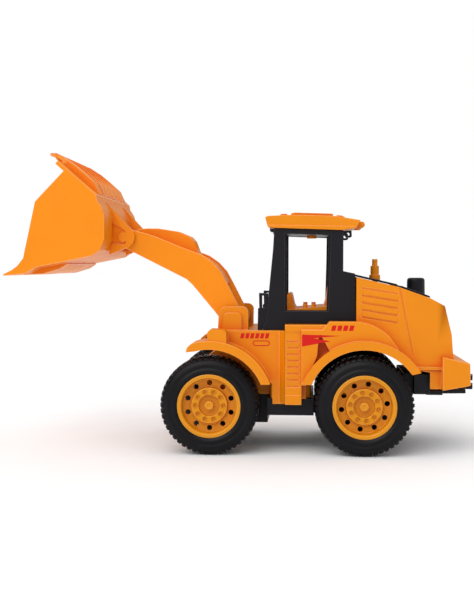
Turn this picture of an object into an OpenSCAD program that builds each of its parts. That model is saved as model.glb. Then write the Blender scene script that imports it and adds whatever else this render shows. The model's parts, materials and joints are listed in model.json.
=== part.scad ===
// Toy front loader with a friction drive, a lifting arm and a tipping bucket.
// +X is the loader's front, +Y its left side and +Z is up. The origin is on the
// floor at the middle of the whole length, with the arm raised as it rests.

/* [Wheels] */
// Distance between the front and rear axles
wheelbase = 93.5; // [92:0.5:95]
// Diameter of a tyre over its tread
tyre_d = 60; // [58:0.5:61]
// Width of a tyre
tyre_w = 25; // [22:0.5:25]
// Diameter of a rim at its outer lip
rim_d = 38.6; // [37:0.1:40]
// Diameter of the steel axles
axle_d = 2.4; // [2:0.1:2.6]
// Number of holes in each rim
rim_holes = 10; // [8:1:12]

/* [Body] */
// Width over the body's side panels
body_w = 76; // [74:0.5:76]
// Width over the front fenders
fender_w = 104; // [100:1:106]
// Width over the rear wheel arches
arch_w = 100; // [98:1:102]
// Width over the step cabinets
cabinet_w = 88; // [86:1:90]
// Width of the cab
cab_w = 68; // [66:0.5:68]
// Wall thickness of the moulded shells
wall = 2; // [1.8:0.1:2.2]

/* [Loader arm and bucket] */
// Clear width between the two arm plates
arm_gap = 42; // [41.5:0.1:42.5]
// Thickness of an arm plate
arm_t = 4; // [3.5:0.1:4]
// Width of the bucket
bucket_w = 112; // [106:1:116]
// Wall thickness of the bucket
bucket_t = 2.4; // [2:0.1:2.6]
// Diameter of a bucket pin
bucket_pin_d = 4.6; // [4.2:0.1:4.8]
// Diameter of the arm's pivot rod
pivot_rod_d = 3; // [2.8:0.1:3.2]

/* [Friction motor] */
// Gear module
gear_module = 0.65; // [0.64:0.01:0.66]
// Teeth on each large gear
gear_teeth = 30; // [29:1:30]
// Teeth on each pinion
pinion_teeth = 10; // [9:1:10]
// Diameter of the flywheel
flywheel_d = 21; // [18:0.5:21]

/* [Hidden] */
$fn = 64;

orange = "#F59A22";
arm_orange = "#FB9420";
rim_orange = "#E09A20";
plastic_black = "#26242A";
tyre_black = "#232226";
steel = "#B8BCC0";
nylon_white = "#E4E0D4";

// axle places
axle_z = tyre_d / 2;
front_x = 20;
rear_x = front_x - wheelbase;
axle_r = axle_d / 2;
// radial clearance of a shaft that turns in plastic
run_gap = 0.06;
// radial clearance of a pressed or screwed fit
press_gap = 0.01;
tyre_out = 52;
tyre_in = tyre_out - tyre_w;
rim_r = rim_d / 2;
rim_in = tyre_in + 1;
rim_out = tyre_out - 0.8;

// wheel arch radii, measured from the axle
arch_r_in = 34.2;
arch_r_out = 39.4;
body_y = body_w / 2;
fender_y = fender_w / 2;
arch_y = arch_w / 2;
cabinet_y = cabinet_w / 2;
cab_y = cab_w / 2;
nose_y = 20;
tray_z = 22.8;
deck_z = 75;
seam_x = -25.5;
seam_gap = 0.2;

// loader pivots
arm_x = 6.6;
arm_z = 81.6;
arm_in = arm_gap / 2;
arm_out = arm_in + arm_t;
arm_end_r = 7.2;
tip_x = 75.7;
tip_z = 132.6;
tip_r = 5.8;
ear_in = arm_out + 0.9;
ear_out = ear_in + 3.6;
tower_in = 26;
tower_out = 30;
bucket_y = bucket_w / 2;
back_x = 82.2;

// gear train, all on lines parallel to Y
pitch_big = gear_module * gear_teeth / 2;
pitch_small = gear_module * pinion_teeth / 2;
mesh_gap = pitch_big + pitch_small;
flywheel_x = -0.5;
flywheel_z = axle_z;
idler_x = (front_x + flywheel_x) / 2;
idler_rise = sqrt(pow(mesh_gap, 2) - pow((front_x - flywheel_x) / 2, 2));
idler_z = axle_z + idler_rise;
angle_axle_to_idler = atan2(idler_z - axle_z, idler_x - front_x);
angle_idler_to_flywheel = atan2(flywheel_z - idler_z, flywheel_x - idler_x);
box_y = 17.6;
box_wall = 1.6;
shaft_r = 1;

// points of an arc about a centre c, from angle a0 to angle a1
function arc(c, r, a0, a1, n = 12) =
    [for (i = [0:n]) c + r * [cos(a0 + (a1 - a0) * i / n), sin(a0 + (a1 - a0) * i / n)]];

// an outline drawn in X and Z, made solid between two Y planes
module slab(y_low, y_high) {
    translate([0, y_high, 0])
        rotate([90, 0, 0])
            linear_extrude(y_high - y_low)
                children();
}

// a round bar along Y
module bar(x, z, r, y_low, y_high) {
    translate([x, y_low, z])
        rotate([-90, 0, 0])
            cylinder(h = y_high - y_low, r = r);
}

module both_sides() {
    children();
    mirror([0, 1, 0])
        children();
}

// ---- wheels ----

front_axle_c = [front_x, axle_z];
rear_axle_c = [rear_x, axle_z];

// the hub is closed, and the axle stops short of its face
hub_y = tyre_out - 4.1;
axle_half = hub_y - 2;

// half outline of a rim: distance from the axle, then distance from the middle plane
rim_outline = [
    [axle_r + press_gap, rim_in], [4, rim_in], [4, 43.2], [17.2, 43.2], [17.6, 40], [17.6, rim_in + 1],
    [rim_r, rim_in + 1], [rim_r, rim_out - 0.3], [rim_r - 0.4, rim_out], [rim_r - 2, rim_out],
    [rim_r - 2.6, rim_out - 0.8], [16, 46.2], [11.5, 45.6], [11, 47.6], [10.6, 48], [6.6, 48],
    [6, 45.6], [2.9, 45.6], [2.7, hub_y], [2.2, hub_y + 0.4], [1.4, hub_y + 0.4], [1, hub_y], [0, hub_y],
    [0, axle_half + 0.3], [axle_r + press_gap, axle_half + 0.3]
];

// a rim whose first hole stands at the angle first
module left_rim(x, first) {
    hole_ring = 13.8;
    hole_r = 1.65;
    bolt_ring = 8.5;
    bolt_r = 1.3;
    difference() {
        translate([x, 0, axle_z])
            rotate([-90, 0, 0])
                rotate_extrude($fn = 96)
                    polygon(rim_outline);
        for (i = [0:rim_holes - 1]) {
            turn = first + i * 360 / rim_holes;
            bar(x + hole_ring * cos(turn), axle_z + hole_ring * sin(turn), hole_r, 42, 48);
            half_turn = turn + 180 / rim_holes;
            bar(x + bolt_ring * cos(half_turn), axle_z + bolt_ring * sin(half_turn), bolt_r, 47.2, 49);
        }
    }
}

// angle of the first hole in the front and rear rims, as the wheels came to rest
front_first_hole = 90;
rear_first_hole = 100;

tyre_r = tyre_d / 2;
tyre_bore = rim_r + press_gap;
tyre_outline = concat(
    [[tyre_bore, rim_in + 1], [tyre_bore + 1.2, tyre_in + 0.3], [24, tyre_in]],
    arc([tyre_r - 3.5, tyre_in + 3.5], 3.5, 270, 360, 6),
    arc([tyre_r - 4.5, tyre_out - 4.9], 4.5, 0, 80, 8),
    [[22.6, tyre_out - 0.2], [21.6, tyre_out], [20.6, tyre_out - 0.3], [tyre_bore, rim_out - 0.4]]
);

module left_tyre(x) {
    translate([x, 0, axle_z])
        rotate([-90, 0, 0])
            rotate_extrude($fn = 96)
                polygon(tyre_outline);
}

module axle(x) {
    color(steel)
        bar(x, axle_z, axle_r, -axle_half, axle_half);
}

module front_rim_left() { color(rim_orange) left_rim(front_x, front_first_hole); }
module front_rim_right() { color(rim_orange) mirror([0, 1, 0]) left_rim(front_x, front_first_hole); }
module rear_rim_left() { color(rim_orange) left_rim(rear_x, rear_first_hole); }
module rear_rim_right() { color(rim_orange) mirror([0, 1, 0]) left_rim(rear_x, rear_first_hole); }
module front_tyre_left() { color(tyre_black) left_tyre(front_x); }
module front_tyre_right() { color(tyre_black) mirror([0, 1, 0]) left_tyre(front_x); }
module rear_tyre_left() { color(tyre_black) left_tyre(rear_x); }
module rear_tyre_right() { color(tyre_black) mirror([0, 1, 0]) left_tyre(rear_x); }
module front_axle() { axle(front_x); }
module rear_axle() { axle(rear_x); }

// ---- friction motor ----

pressure_angle = 25;
backlash = 0.16;

function involute(a) = tan(a) - a * PI / 180;

// half the angle of a tooth at radius r
function half_tooth(r, pitch_r, base_r) =
    (PI * gear_module / 2 - backlash) / (2 * pitch_r) * 180 / PI
    + (involute(pressure_angle) - involute(acos(min(1, base_r / r)))) * 180 / PI;

function on_circle(r, a) = [r * cos(a), r * sin(a)];

// outline of a spur gear with a tooth centred on the first axis
module gear_outline(teeth) {
    pitch_r = gear_module * teeth / 2;
    base_r = pitch_r * cos(pressure_angle);
    tip_radius = pitch_r + 0.85 * gear_module;
    root_radius = pitch_r - 1.15 * gear_module;
    flank_start = max(base_r, root_radius);
    flank_steps = 4;
    radii = [for (i = [0:flank_steps]) flank_start + (tip_radius - flank_start) * i / flank_steps];
    root_half = half_tooth(flank_start, pitch_r, base_r);
    polygon([
        for (t = [0:teeth - 1])
            let (mid = t * 360 / teeth)
                each concat(
                    [on_circle(root_radius, mid - root_half)],
                    [for (r = radii) on_circle(r, mid - half_tooth(r, pitch_r, base_r))],
                    [
                        for (i = [flank_steps:-1:0])
                            on_circle(radii[i], mid + half_tooth(radii[i], pitch_r, base_r))
                    ],
                    [on_circle(root_radius, mid + root_half)]
                )
    ]);
}

module gear(x, z, teeth, turn, y_low, y_high) {
    translate([x, y_high, z])
        rotate([90, 0, 0])
            linear_extrude(y_high - y_low)
                rotate(turn)
                    gear_outline(teeth);
}

stage_one = [6, 9];
stage_two = [-1, 2];

module axle_gear() {
    color(nylon_white)
        difference() {
            union() {
                gear(front_x, axle_z, gear_teeth, angle_axle_to_idler, stage_one[0], stage_one[1]);
                bar(front_x, axle_z, 3.4, stage_one[0] - 3, stage_one[1] + 3);
            }
            bar(front_x, axle_z, axle_r + press_gap, 0, 14);
        }
}

module idler_gear() {
    pinion_turn = angle_axle_to_idler + 180 + 180 / pinion_teeth;
    color(nylon_white)
        difference() {
            union() {
                gear(idler_x, idler_z, pinion_teeth, pinion_turn, stage_two[1] - 0.5, stage_one[1] + 0.5);
                gear(idler_x, idler_z, gear_teeth, angle_idler_to_flywheel, stage_two[0], stage_two[1]);
            }
            bar(idler_x, idler_z, shaft_r + press_gap, -4, 12);
        }
}

module idler_shaft() {
    color(steel)
        bar(idler_x, idler_z, shaft_r, -box_y + 1, box_y - 1);
}

module flywheel_shaft() {
    color(steel)
        bar(flywheel_x, flywheel_z, shaft_r, -box_y + 1, box_y - 1);
}

module flywheel_pinion() {
    color(nylon_white)
        difference() {
            gear(flywheel_x, flywheel_z, pinion_teeth, angle_idler_to_flywheel + 180 + 180 / pinion_teeth,
                 stage_two[0] - 0.5, stage_two[1] + 0.5);
            bar(flywheel_x, flywheel_z, shaft_r + press_gap, -4, 6);
        }
}

module flywheel() {
    color(steel)
        difference() {
            union() {
                bar(flywheel_x, flywheel_z, flywheel_d / 2, -9, -4);
                bar(flywheel_x, flywheel_z, 3, -10, -3);
            }
            bar(flywheel_x, flywheel_z, shaft_r + press_gap, -12, -1);
        }
}

box_outline = [[-14.2, 15.5], [32.6, 15.5], [32.6, 41], [22, 50.4], [-3, 50.4], [-14.2, 40]];
box_cavity = [
    [-14.2 + box_wall, 15.5 + box_wall], [32.6 - box_wall, 15.5 + box_wall], [32.6 - box_wall, 40.2],
    [21.4, 50.4 - box_wall], [-2.4, 50.4 - box_wall], [-14.2 + box_wall, 39.3]
];
box_screw_places = [[-10.3, 19.4], [28.6, 19], [-7.6, 43], [26.4, 42.2]];
box_screw_r = 1;
box_head_r = 1.8;

box_boss_r = 2.6;
axle_boss_r = 3.4;
boss_start = 13;

// the left half of the gearbox, without its screw holes
module gearbox_half() {
    blind_end = box_y - 0.8;
    difference() {
        union() {
            slab(box_y - box_wall, box_y)
                polygon(box_outline);
            slab(0, box_y)
                difference() {
                    polygon(box_outline);
                    polygon(box_cavity);
                }
            for (p = box_screw_places)
                bar(p[0], p[1], box_boss_r, 0, box_y);
            bar(idler_x, idler_z, box_boss_r, boss_start, box_y);
            bar(flywheel_x, flywheel_z, box_boss_r, boss_start, box_y);
            bar(front_x, axle_z, axle_boss_r, boss_start, box_y);
        }
        bar(front_x, axle_z, axle_r + run_gap, boss_start - 1, box_y + 1);
        bar(idler_x, idler_z, shaft_r + run_gap, boss_start - 1, blind_end);
        bar(flywheel_x, flywheel_z, shaft_r + run_gap, boss_start - 1, blind_end);
    }
}

module gearbox_left() {
    color(plastic_black)
        difference() {
            gearbox_half();
            for (p = box_screw_places)
                bar(p[0], p[1], box_screw_r + press_gap, -1, 9);
        }
}

module gearbox_right() {
    color(plastic_black)
        difference() {
            mirror([0, 1, 0])
                gearbox_half();
            for (p = box_screw_places) {
                bar(p[0], p[1], box_screw_r + press_gap, -box_y - 1, 1);
                bar(p[0], p[1], box_head_r + press_gap, -box_y - 1, -box_y + 1.6);
            }
        }
}

module gearbox_screws() {
    color(steel)
        for (p = box_screw_places) {
            bar(p[0], p[1], box_screw_r, -box_y + 1, 8);
            bar(p[0], p[1], box_head_r, -box_y + 0.2, -box_y + 1.6);
        }
}

// ---- chassis ----

tray_wall = 2;
tray_wide = [[-43.2, tray_z], [-14.6, tray_z], [-14.6, 33], [-43.2, 33]];
tray_rear = [
    [-43, tray_z], [-97, tray_z], [-102, 35.2], [-136.9, 35.8], [-136.9, 38.2],
    [-99.9, 37.6], [-94.8, tray_z + 2.4], [-43, tray_z + 2.4]
];
tray_screw_places = [[-19.2, 30], [-38.4, 30], [-117.4, 24]];
post_r = 3;
screw_r = 1.2;
screw_head_r = 2.4;

// a square-cornered block given by its two corners
module block(low, high) {
    translate(low)
        cube(high - low);
}

module chassis_tray() {
    tray_y = body_y - 2.2;
    color(plastic_black)
        difference() {
            union() {
                difference() {
                    slab(-tray_y, tray_y)
                        polygon(tray_wide);
                    block([-43.2 + tray_wall, -tray_y + tray_wall, tray_z + tray_wall],
                          [-14.6 - tray_wall, tray_y - tray_wall, 40]);
                }
                slab(-24, 24)
                    polygon(tray_rear);
                both_sides() {
                    block([rear_x - 5, 18, tray_z + 1], [rear_x + 5, 23.6, axle_z]);
                    bar(rear_x, axle_z, 5, 18, 23.6);
                    slab(22, 24)
                        polygon([[-97, tray_z], [-43, tray_z], [-43, 28], [-94, 28], [-100, 40], [-103, 40]]);
                    block([-114.2, 24, 36], [-104.4, 32, 48.4]);
                    block([-105, 24, 36], [-98.6, 26.4, 48.4]);
                }
                block([-114.2, -24.2, 45.4], [-98.6, 24.2, 48.4]);
                both_sides()
                    block([-122, 19, 35.4], [-112, 30, 38]);
                for (p = [tray_screw_places[0], tray_screw_places[1]])
                    both_sides()
                        translate([p[0], p[1], tray_z])
                            cylinder(h = 6, r = post_r);
            }
            bar(rear_x, axle_z, axle_r + run_gap, -30, 30);
            both_sides()
                for (p = tray_screw_places) {
                    translate([p[0], p[1], 20])
                        cylinder(h = 40, r = screw_r + press_gap);
                    head_top = p[0] < -100 ? 36.4 : tray_z + 1.4;
                    translate([p[0], p[1], 20])
                        cylinder(h = head_top - 20, r = screw_head_r + press_gap);
                }
        }
}

module chassis_screws() {
    color(steel)
        both_sides()
            for (p = tray_screw_places) {
                head_top = p[0] < -100 ? 36.4 : tray_z + 1.4;
                translate([p[0], p[1], head_top - 1.2])
                    cylinder(h = 1.2, r = screw_head_r);
                translate([p[0], p[1], head_top - 0.4])
                    cylinder(h = 11, r = screw_r);
            }
}

module tow_hitch() {
    color(plastic_black)
        difference() {
            union() {
                block([-143.4, -9, 36.6], [-137.2, 9, 45.2]);
                translate([-140, 0, 36.6])
                    cylinder(h = 3, r = 4.8);
                translate([-140, 0, 42.2])
                    cylinder(h = 3, r = 4.8);
            }
            block([-137, -10, 30], [-130, 10, 50]);
            block([-150, -10, 39.6], [-139, 10, 42.2]);
            translate([-141, 0, 30])
                cylinder(h = 20, r = 1.6);
        }
}

// ---- body shells ----

fender_tip = [[33.8, 62.6], [33, 65.6], [30.4, 67.8]];
fender_sweep = arc(front_axle_c, arch_r_out, 80, 160, 20);
fender_inner = arc(front_axle_c, arch_r_in, 157, 82, 20);
fender_outline = concat(fender_tip, fender_sweep, fender_inner, [[28.4, 63.1]]);
fender_sheet = concat(
    fender_tip, fender_sweep, arc(front_axle_c, arch_r_out - wall, 159, 81, 20),
    [[29, 66.4], [31.4, 64.9], [32.4, 62.6]]
);
tower_outline = concat(
    [[-2.6, deck_z - 1], [16.4, deck_z - 1], [15.7, 85.9]],
    arc([11.4, 85.4], 4, 10, 90, 6), arc([1.2, 85.4], 4, 90, 190, 6)
);
tower_panel = concat(
    [[1.6, deck_z - 1], [13.7, deck_z - 1], [12.6, 83.4]],
    arc([10, 82.8], 2.6, 10, 90, 5), arc([3.6, 83.4], 2, 90, 180, 5)
);
headlight_outline = concat([[9.3, 66], [20.8, 66], [20.8, 74.6], [19, 76.4]],
                           arc([11.8, 73.6], 2.4, 90, 180, 5));
nose_outer = [[seam_x, deck_z], [-3, deck_z], [9, 69], [24, 57.5], [33.4, 43.2]];
nose_inner = [[31.4, 43.2], [22.6, 55.8], [8, 67.2], [-3.4, deck_z - wall], [seam_x, deck_z - wall]];

module front_side_panel() {
    slab(body_y - wall, body_y)
        polygon(concat([[seam_x, 30], [-18, 30], [-18, 42.6]],
                       arc(front_axle_c, arch_r_out - 1.2, 160, 96, 16),
                       [[20.6, 69.4], [20.6, deck_z], [seam_x, deck_z]]));
}

module front_body() {
    color(orange)
        difference() {
            union() {
                both_sides() {
                    front_side_panel();
                    slab(tower_in, fender_y)
                        polygon(fender_sheet);
                    slab(fender_y - wall, fender_y)
                        polygon(fender_outline);
                    slab(tower_in, body_y)
                        polygon([
                            [seam_x, deck_z - wall], [20.6, deck_z - wall], [20.6, deck_z], [seam_x, deck_z]
                        ]);
                    slab(tower_in, tower_in + wall)
                        polygon(concat([[20.6, deck_z], [seam_x, deck_z], [seam_x, 60]],
                                       arc(front_axle_c, arch_r_out - 1.2, 129, 96, 10), [[20.6, 68]]));
                    slab(tower_in, tower_out)
                        polygon(tower_outline);
                    slab(tower_out - 1, tower_out + 1.6)
                        polygon(tower_panel);
                    slab(body_y - 1, fender_y - 1)
                        polygon(headlight_outline);
                    block([-19.6, nose_y - wall, 33.2], [-17.6, body_y, 46]);
                    slab(nose_y - wall, nose_y)
                        polygon(concat(
                            nose_outer,
                            [[30, 40], [24, 36], [12, 36], [-8, 34], [-19.6, 33.4], [seam_x, 33.4]]
                        ));
                    translate([tray_screw_places[0][0], tray_screw_places[0][1], 33.2])
                        cylinder(h = 12, r = post_r);
                    block([-22.6, 28.4, 33.4], [-17.6, 37, 45]);
                    // slanted corner that meets the step cabinet
                    translate([0, 0, 31.4])
                        linear_extrude(deck_z - 31.4)
                            polygon([
                                [-21.9, body_y - 1], [-22.2, body_y], [seam_x, cabinet_y - 0.6],
                                [seam_x, body_y - 1]
                            ]);
                }
                slab(-nose_y, nose_y)
                    polygon(concat(nose_outer, nose_inner));
                block([seam_x, -body_y, deck_z - wall], [-3, body_y, deck_z]);
            }
            bar(arm_x, arm_z, pivot_rod_d / 2 + run_gap, -29.6, 29.6);
            both_sides()
                translate([tray_screw_places[0][0], tray_screw_places[0][1], 30])
                    cylinder(h = 8, r = screw_r + press_gap);
            for (p = cab_screw_places)
                both_sides()
                    translate([p[0], p[1], 60])
                        cylinder(h = 30, r = screw_r + press_gap);
        }
}

rear_start = seam_x - seam_gap;
hood_x = -68.9;
exhaust_x = -82.2;
cleaner_x = -108.4;
spigot_r = 1.6;
// turn of the flat on each rear corner of the hood
corner_turn = 7;
hood_top_inner = [
    [-125.2, 58], [-124.2, 73.2], [-120.4, 89], [-112.9, 92.9], [-93.8, 99.8], [hood_x, 105.6]
];
fender_block = concat(
    [[-46.4, 74.6], [-48, 75.4], [-52.5, 81], [-67, 81]],
    arc([-67, 51], 30, 98, 136, 8), [[-93.4, 65.4], [-95, 61.5]]
);

module rear_side_plate() {
    slab(body_y - wall, body_y)
        polygon(concat([[hood_x, 78.9], [hood_x, 107.7], [-94.4, 101.8], [-113.6, 94.9]],
                       [[-122, 90.4], [-126.3, 72.9], [-127.4, 58], [-120.2, 55], [-120.2, 40], [-113.4, 40]],
                       [[-113.4, 50], [-107, 51]],
                       arc(rear_axle_c, arch_r_in + 1, 143, 20, 24), [[-36, 43], [-36, 33.6]],
                       [[rear_start, 33.6], [rear_start, 78.9]]));
}

module rear_body() {
    arch_end = 148;
    shelf_z = 53.8;
    tread_count = 8;
    tread_step = 3.9;
    tread_z = 41;
    color(orange)
        difference() {
            union() {
                both_sides() {
                    rear_side_plate();
                    // wheel arch: a sheet over the tyre and its outer band
                    slab(body_y - 1, arch_y)
                        polygon(concat(arc(rear_axle_c, arch_r_out, arch_end - 1, 20, 28),
                                       arc(rear_axle_c, arch_r_out - wall, 20, arch_end - 1, 28)));
                    slab(arch_y - wall - 0.6, arch_y)
                        polygon(concat(arc(rear_axle_c, arch_r_out, arch_end, 20, 28),
                                       arc(rear_axle_c, arch_r_in, 22.5, arch_end - 3, 28)));
                    // raised fender block above the arch
                    slab(body_y - 1, arch_y - 4)
                        polygon(concat(fender_block, arc(rear_axle_c, arch_r_out - 1, 124, 58, 20)));
                    // step cabinet and its shelf
                    block([-35.7, body_y - 1, 30.4], [rear_start, cabinet_y, 76]);
                    block([-35.7, body_y - 1, 30.4], [rear_start, cabinet_y + 0.4, 36.2]);
                    slab(body_y - 1, arch_y - 4)
                        polygon([[-35.7, 76], [-49, 76], [-46, 72], [-45, 60], [-37.4, 42.5], [-35.7, 42.5]]);
                    slab(body_y - 1, cabinet_y + 0.4)
                        polygon([[rear_start, 78.9], [-51.4, 78.9], [-47.6, 74.8], [rear_start, 74.8]]);
                    // ledge behind the arch, below the hood
                    block([-121, body_y - wall, shelf_z - wall], [-104, body_y + 2, shelf_z]);
                    translate([tray_screw_places[1][0] + 3, 0, 0])
                        block([-3, 27, 33.2], [0.2, body_y - 1, 46]);
                    translate([tray_screw_places[1][0], tray_screw_places[1][1], 33.2])
                        cylinder(h = 12, r = post_r);
                    translate([tray_screw_places[2][0], tray_screw_places[2][1], 38.2])
                        cylinder(h = 9, r = post_r);
                    block([-120.2, 20, 44], [-116, 28, 56]);
                }
                // hood top and rear skins
                slab(-body_y + 1, body_y - 1)
                    polygon(concat([[hood_x, 107.7], [-94.4, 101.8], [-113.6, 94.9], [-122, 90.4]],
                                   [[-126.3, 72.9], [-127.4, 58]], hood_top_inner));
                // bulkhead behind the cab
                block([hood_x - wall, -body_y + 1, 76.9], [hood_x, body_y - 1, 106]);
                // deck under the cab
                block([hood_x - wall, -body_y + 1, 76.9], [rear_start, body_y - 1, 78.9]);
                // cross wall at the seam
                block([rear_start - wall, -body_y + 1, 60], [rear_start, body_y - 1, 78]);
                // counterweight
                difference() {
                    slab(-cabinet_y, cabinet_y)
                        polygon([[-120.2, 39.7], [-120.2, 59.9], [-136.4, 56], [-136.8, 43], [-134, 42.2]]);
                    slab(-cabinet_y + wall, cabinet_y - wall)
                        polygon([[-118, 39], [-118, 57], [-122.4, 57.2], [-134.6, 54.4], [-134.8, 39]]);
                }
                block([-122.2, -cabinet_y + 1, 40], [-120.2, cabinet_y - 1, 59]);
            }
            both_sides() {
                translate([tray_screw_places[1][0], tray_screw_places[1][1], 30])
                    cylinder(h = 8, r = screw_r + press_gap);
                translate([tray_screw_places[2][0], tray_screw_places[2][1], 36])
                    cylinder(h = 12, r = screw_r + press_gap);
                // hollow between the treads of the cabinet's steps
                for (i = [0:tread_count - 1])
                    block([-34.4, cabinet_y - 0.8, tread_z + i * tread_step],
                          [-26.8, cabinet_y + 1, tread_z + i * tread_step + 1]);
                // flat on the hood's rear corner
                translate([-116.5, body_y, 60.2])
                    rotate([0, 0, corner_turn])
                        translate([-30, 0, 0])
                            cube([30, 6, 40]);
                // louvres in the hood side
                for (i = [0:4])
                    translate([-83, body_y, 99.4 - i * 4.4])
                        rotate([0, -9, 0])
                            cube([22, 1.6, 1.1], center = true);
                // seam between the hood and its tail
                slab(body_y - 0.7, body_y + 1)
                    polygon([[-94.2, 103], [-95, 103], [-103.6, 60], [-102.8, 60]]);
            }
            translate([exhaust_x, 0, 90])
                cylinder(h = 40, r = spigot_r + press_gap);
            translate([cleaner_x, 0, 80])
                cylinder(h = 40, r = spigot_r + press_gap);
            for (p = cab_rear_screw_places)
                both_sides()
                    translate([p[0], p[1], 60])
                        cylinder(h = 30, r = screw_r + press_gap);
        }
}

module hood_cover() {
    cover_y = body_y - 1.6;
    color(plastic_black)
        difference() {
            slab(-cover_y, cover_y)
                polygon([[-69, 107.9], [-94, 102.1], [-94.4, 101.9], [-95.4, 101.6], [-113.4, 95.2],
                         [-113, 96.4], [-96.4, 102.4], [-95.6, 102.2], [-94.2, 102.2], [-93.2, 103.6],
                         [-69, 109.2]]);
            translate([exhaust_x, 0, 90])
                cylinder(h = 40, r = spigot_r + press_gap);
            translate([cleaner_x, 0, 80])
                cylinder(h = 40, r = spigot_r + press_gap);
        }
}

module exhaust_stack() {
    color(orange)
        union() {
            translate([exhaust_x, 0, 100])
                cylinder(h = 10, r = spigot_r);
            difference() {
                translate([exhaust_x, 0, 103])
                    cylinder(h = 5.8, r = 3.5);
                slab(-10, 10)
                    polygon([[-60, 96], [-60, 111.3], [-69, 109.22], [-93.2, 103.62], [-93.2, 96]]);
            }
            translate([exhaust_x, 0, 108.6])
                cylinder(h = 6, r = 2.7);
            difference() {
                translate([exhaust_x, 0, 114])
                    cylinder(h = 4.9, r = 1.75);
                translate([exhaust_x, 0, 117])
                    cylinder(h = 3, r = 1.1);
            }
        }
}

module air_cleaner() {
    color(plastic_black)
        union() {
            translate([cleaner_x, 0, 92])
                cylinder(h = 8, r = spigot_r);
            difference() {
                translate([cleaner_x, 0, 94])
                    rotate_extrude()
                        polygon(concat([[0, 0], [5.8, 0]], arc([3.8, 11.2], 1.8, 0, 90, 6), [[0, 13]]));
                slab(-10, 10)
                    polygon([
                        [-95.6, 80], [-95.6, 102.7], [-96.4, 102.42], [-113, 96.42], [-120, 93.9], [-120, 80]
                    ]);
            }
        }
}

// ---- cab ----

cab_side = [
    [-11.6, 75.2], [-14.1, 84.3], [-15.6, 99.7], [-18, 124.3], [-18.8, 137.6], [-61, 136.2],
    [-61, 111.4], [-68.2, 109.9], [-68.6, 79.1], [-25.4, 79.1], [-25.4, 75.2]
];
cab_hollow = [
    [-16.6, 81], [-17, 84.6], [-18.5, 100], [-20.9, 124.5], [-21.6, 134.8], [-58, 133.6],
    [-58, 109.4], [-65.4, 107.4], [-65.6, 82]
];
window_side = [[-25.4, 134.4], [-53.3, 133.4], [-53, 117.6], [-51.8, 86.9], [-25.5, 86.9]];
cab_screw_places = [[-20, 23]];
cab_rear_screw_places = [[-56, 26]];
roof_peg_x = -41.7;
roof_peg_r = 3;

module cab_frame() {
    color(plastic_black)
        difference() {
            union() {
                difference() {
                    slab(-cab_y, cab_y)
                        polygon(cab_side);
                    slab(-cab_y + 3, cab_y - 3)
                        polygon(cab_hollow);
                }
                for (p = [cab_screw_places[0], cab_rear_screw_places[0]])
                    both_sides()
                        translate([p[0], p[1], 80])
                            cylinder(h = 6, r = post_r);
                both_sides() {
                    // hook behind the roof line, with its eye
                    slab(cab_y - 6, cab_y - 2)
                        difference() {
                            polygon([
                                [-60, 136], [-66, 136.2], [-66.2, 132.4], [-65, 131.8],
                                [-62.6, 131.8], [-61.8, 133.2], [-60, 133.8]
                            ]);
                            translate([-64, 134])
                                circle(r = 0.9);
                        }
                    // lug in front of the roof line
                    slab(cab_y - 12, cab_y - 2)
                        polygon([[-20, 135.2], [-16.2, 135.6], [-15.9, 137.4], [-20, 137.3]]);
                }
            }
            translate([roof_peg_x, 0, 120])
                cylinder(h = 30, r = roof_peg_r + press_gap);
            slab(-cab_y - 1, cab_y + 1)
                polygon(window_side);
            // windscreen and rear window
            block([-30, -cab_y + 6, 90], [-5, cab_y - 6, 131]);
            block([-70, -cab_y + 8, 114], [-55, cab_y - 8, 130]);
            for (p = [cab_screw_places[0], cab_rear_screw_places[0]])
                both_sides()
                    translate([p[0], p[1], 70])
                        cylinder(h = 13, r = screw_r + press_gap);
        }
}

module cab_screws() {
    color(steel)
        both_sides() {
            for (p = cab_screw_places) {
                translate([p[0], p[1], deck_z - wall - 1.2])
                    cylinder(h = 1.2, r = screw_head_r);
                translate([p[0], p[1], deck_z - wall - 1])
                    cylinder(h = 10, r = screw_r);
            }
            for (p = cab_rear_screw_places) {
                translate([p[0], p[1], 76.9 - 1.2])
                    cylinder(h = 1.2, r = screw_head_r);
                translate([p[0], p[1], 76.9 - 1])
                    cylinder(h = 7, r = screw_r);
            }
        }
}

module cab_roof() {
    roof_y = 35.6;
    color(orange)
        union() {
            difference() {
                slab(-roof_y, roof_y)
                    polygon([[-14.8, 138.4], [-13.2, 144.4], [-15, 145.2], [-30, 145.8], [-56, 145],
                             [-71.4, 142.4], [-68.4, 137.6], [-61, 136.6], [-61, 136.4], [-18, 137.9]]);
                // the roof's side stands in from its lower lip
                both_sides()
                    slab(roof_y - 0.5, roof_y + 1)
                        polygon([[-10, 139.7], [-75, 138.6], [-75, 150], [-10, 150]]);
            }
            // raised pads across the top
            slab(-24, 24)
                polygon([
                    [-28.6, 144], [-28.9, 147.3], [-31, 147.7], [-54.2, 147], [-55, 146.5], [-55, 144]
                ]);
            slab(-20, 20)
                polygon([
                    [-21.4, 144.6], [-22, 146.8], [-22.8, 147.1], [-26, 147.2], [-26.6, 146.8], [-26.8, 144]
                ]);
            slab(-20, 20)
                polygon([[-56.6, 143], [-57.2, 146.3], [-60.4, 146], [-62.6, 144.8], [-63, 143]]);
            // peg that locates the roof in the cab frame
            translate([roof_peg_x, 0, 132.2])
                cylinder(h = 8, r = roof_peg_r);
            both_sides()
                slab(15, 22)
                    polygon(concat([[-68.9, 139.4], [-69.2, 138.2]], arc([-72.6, 140.1], 2, 270, 90, 8),
                                   [[-70.8, 142.1]]));
        }
}

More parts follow.
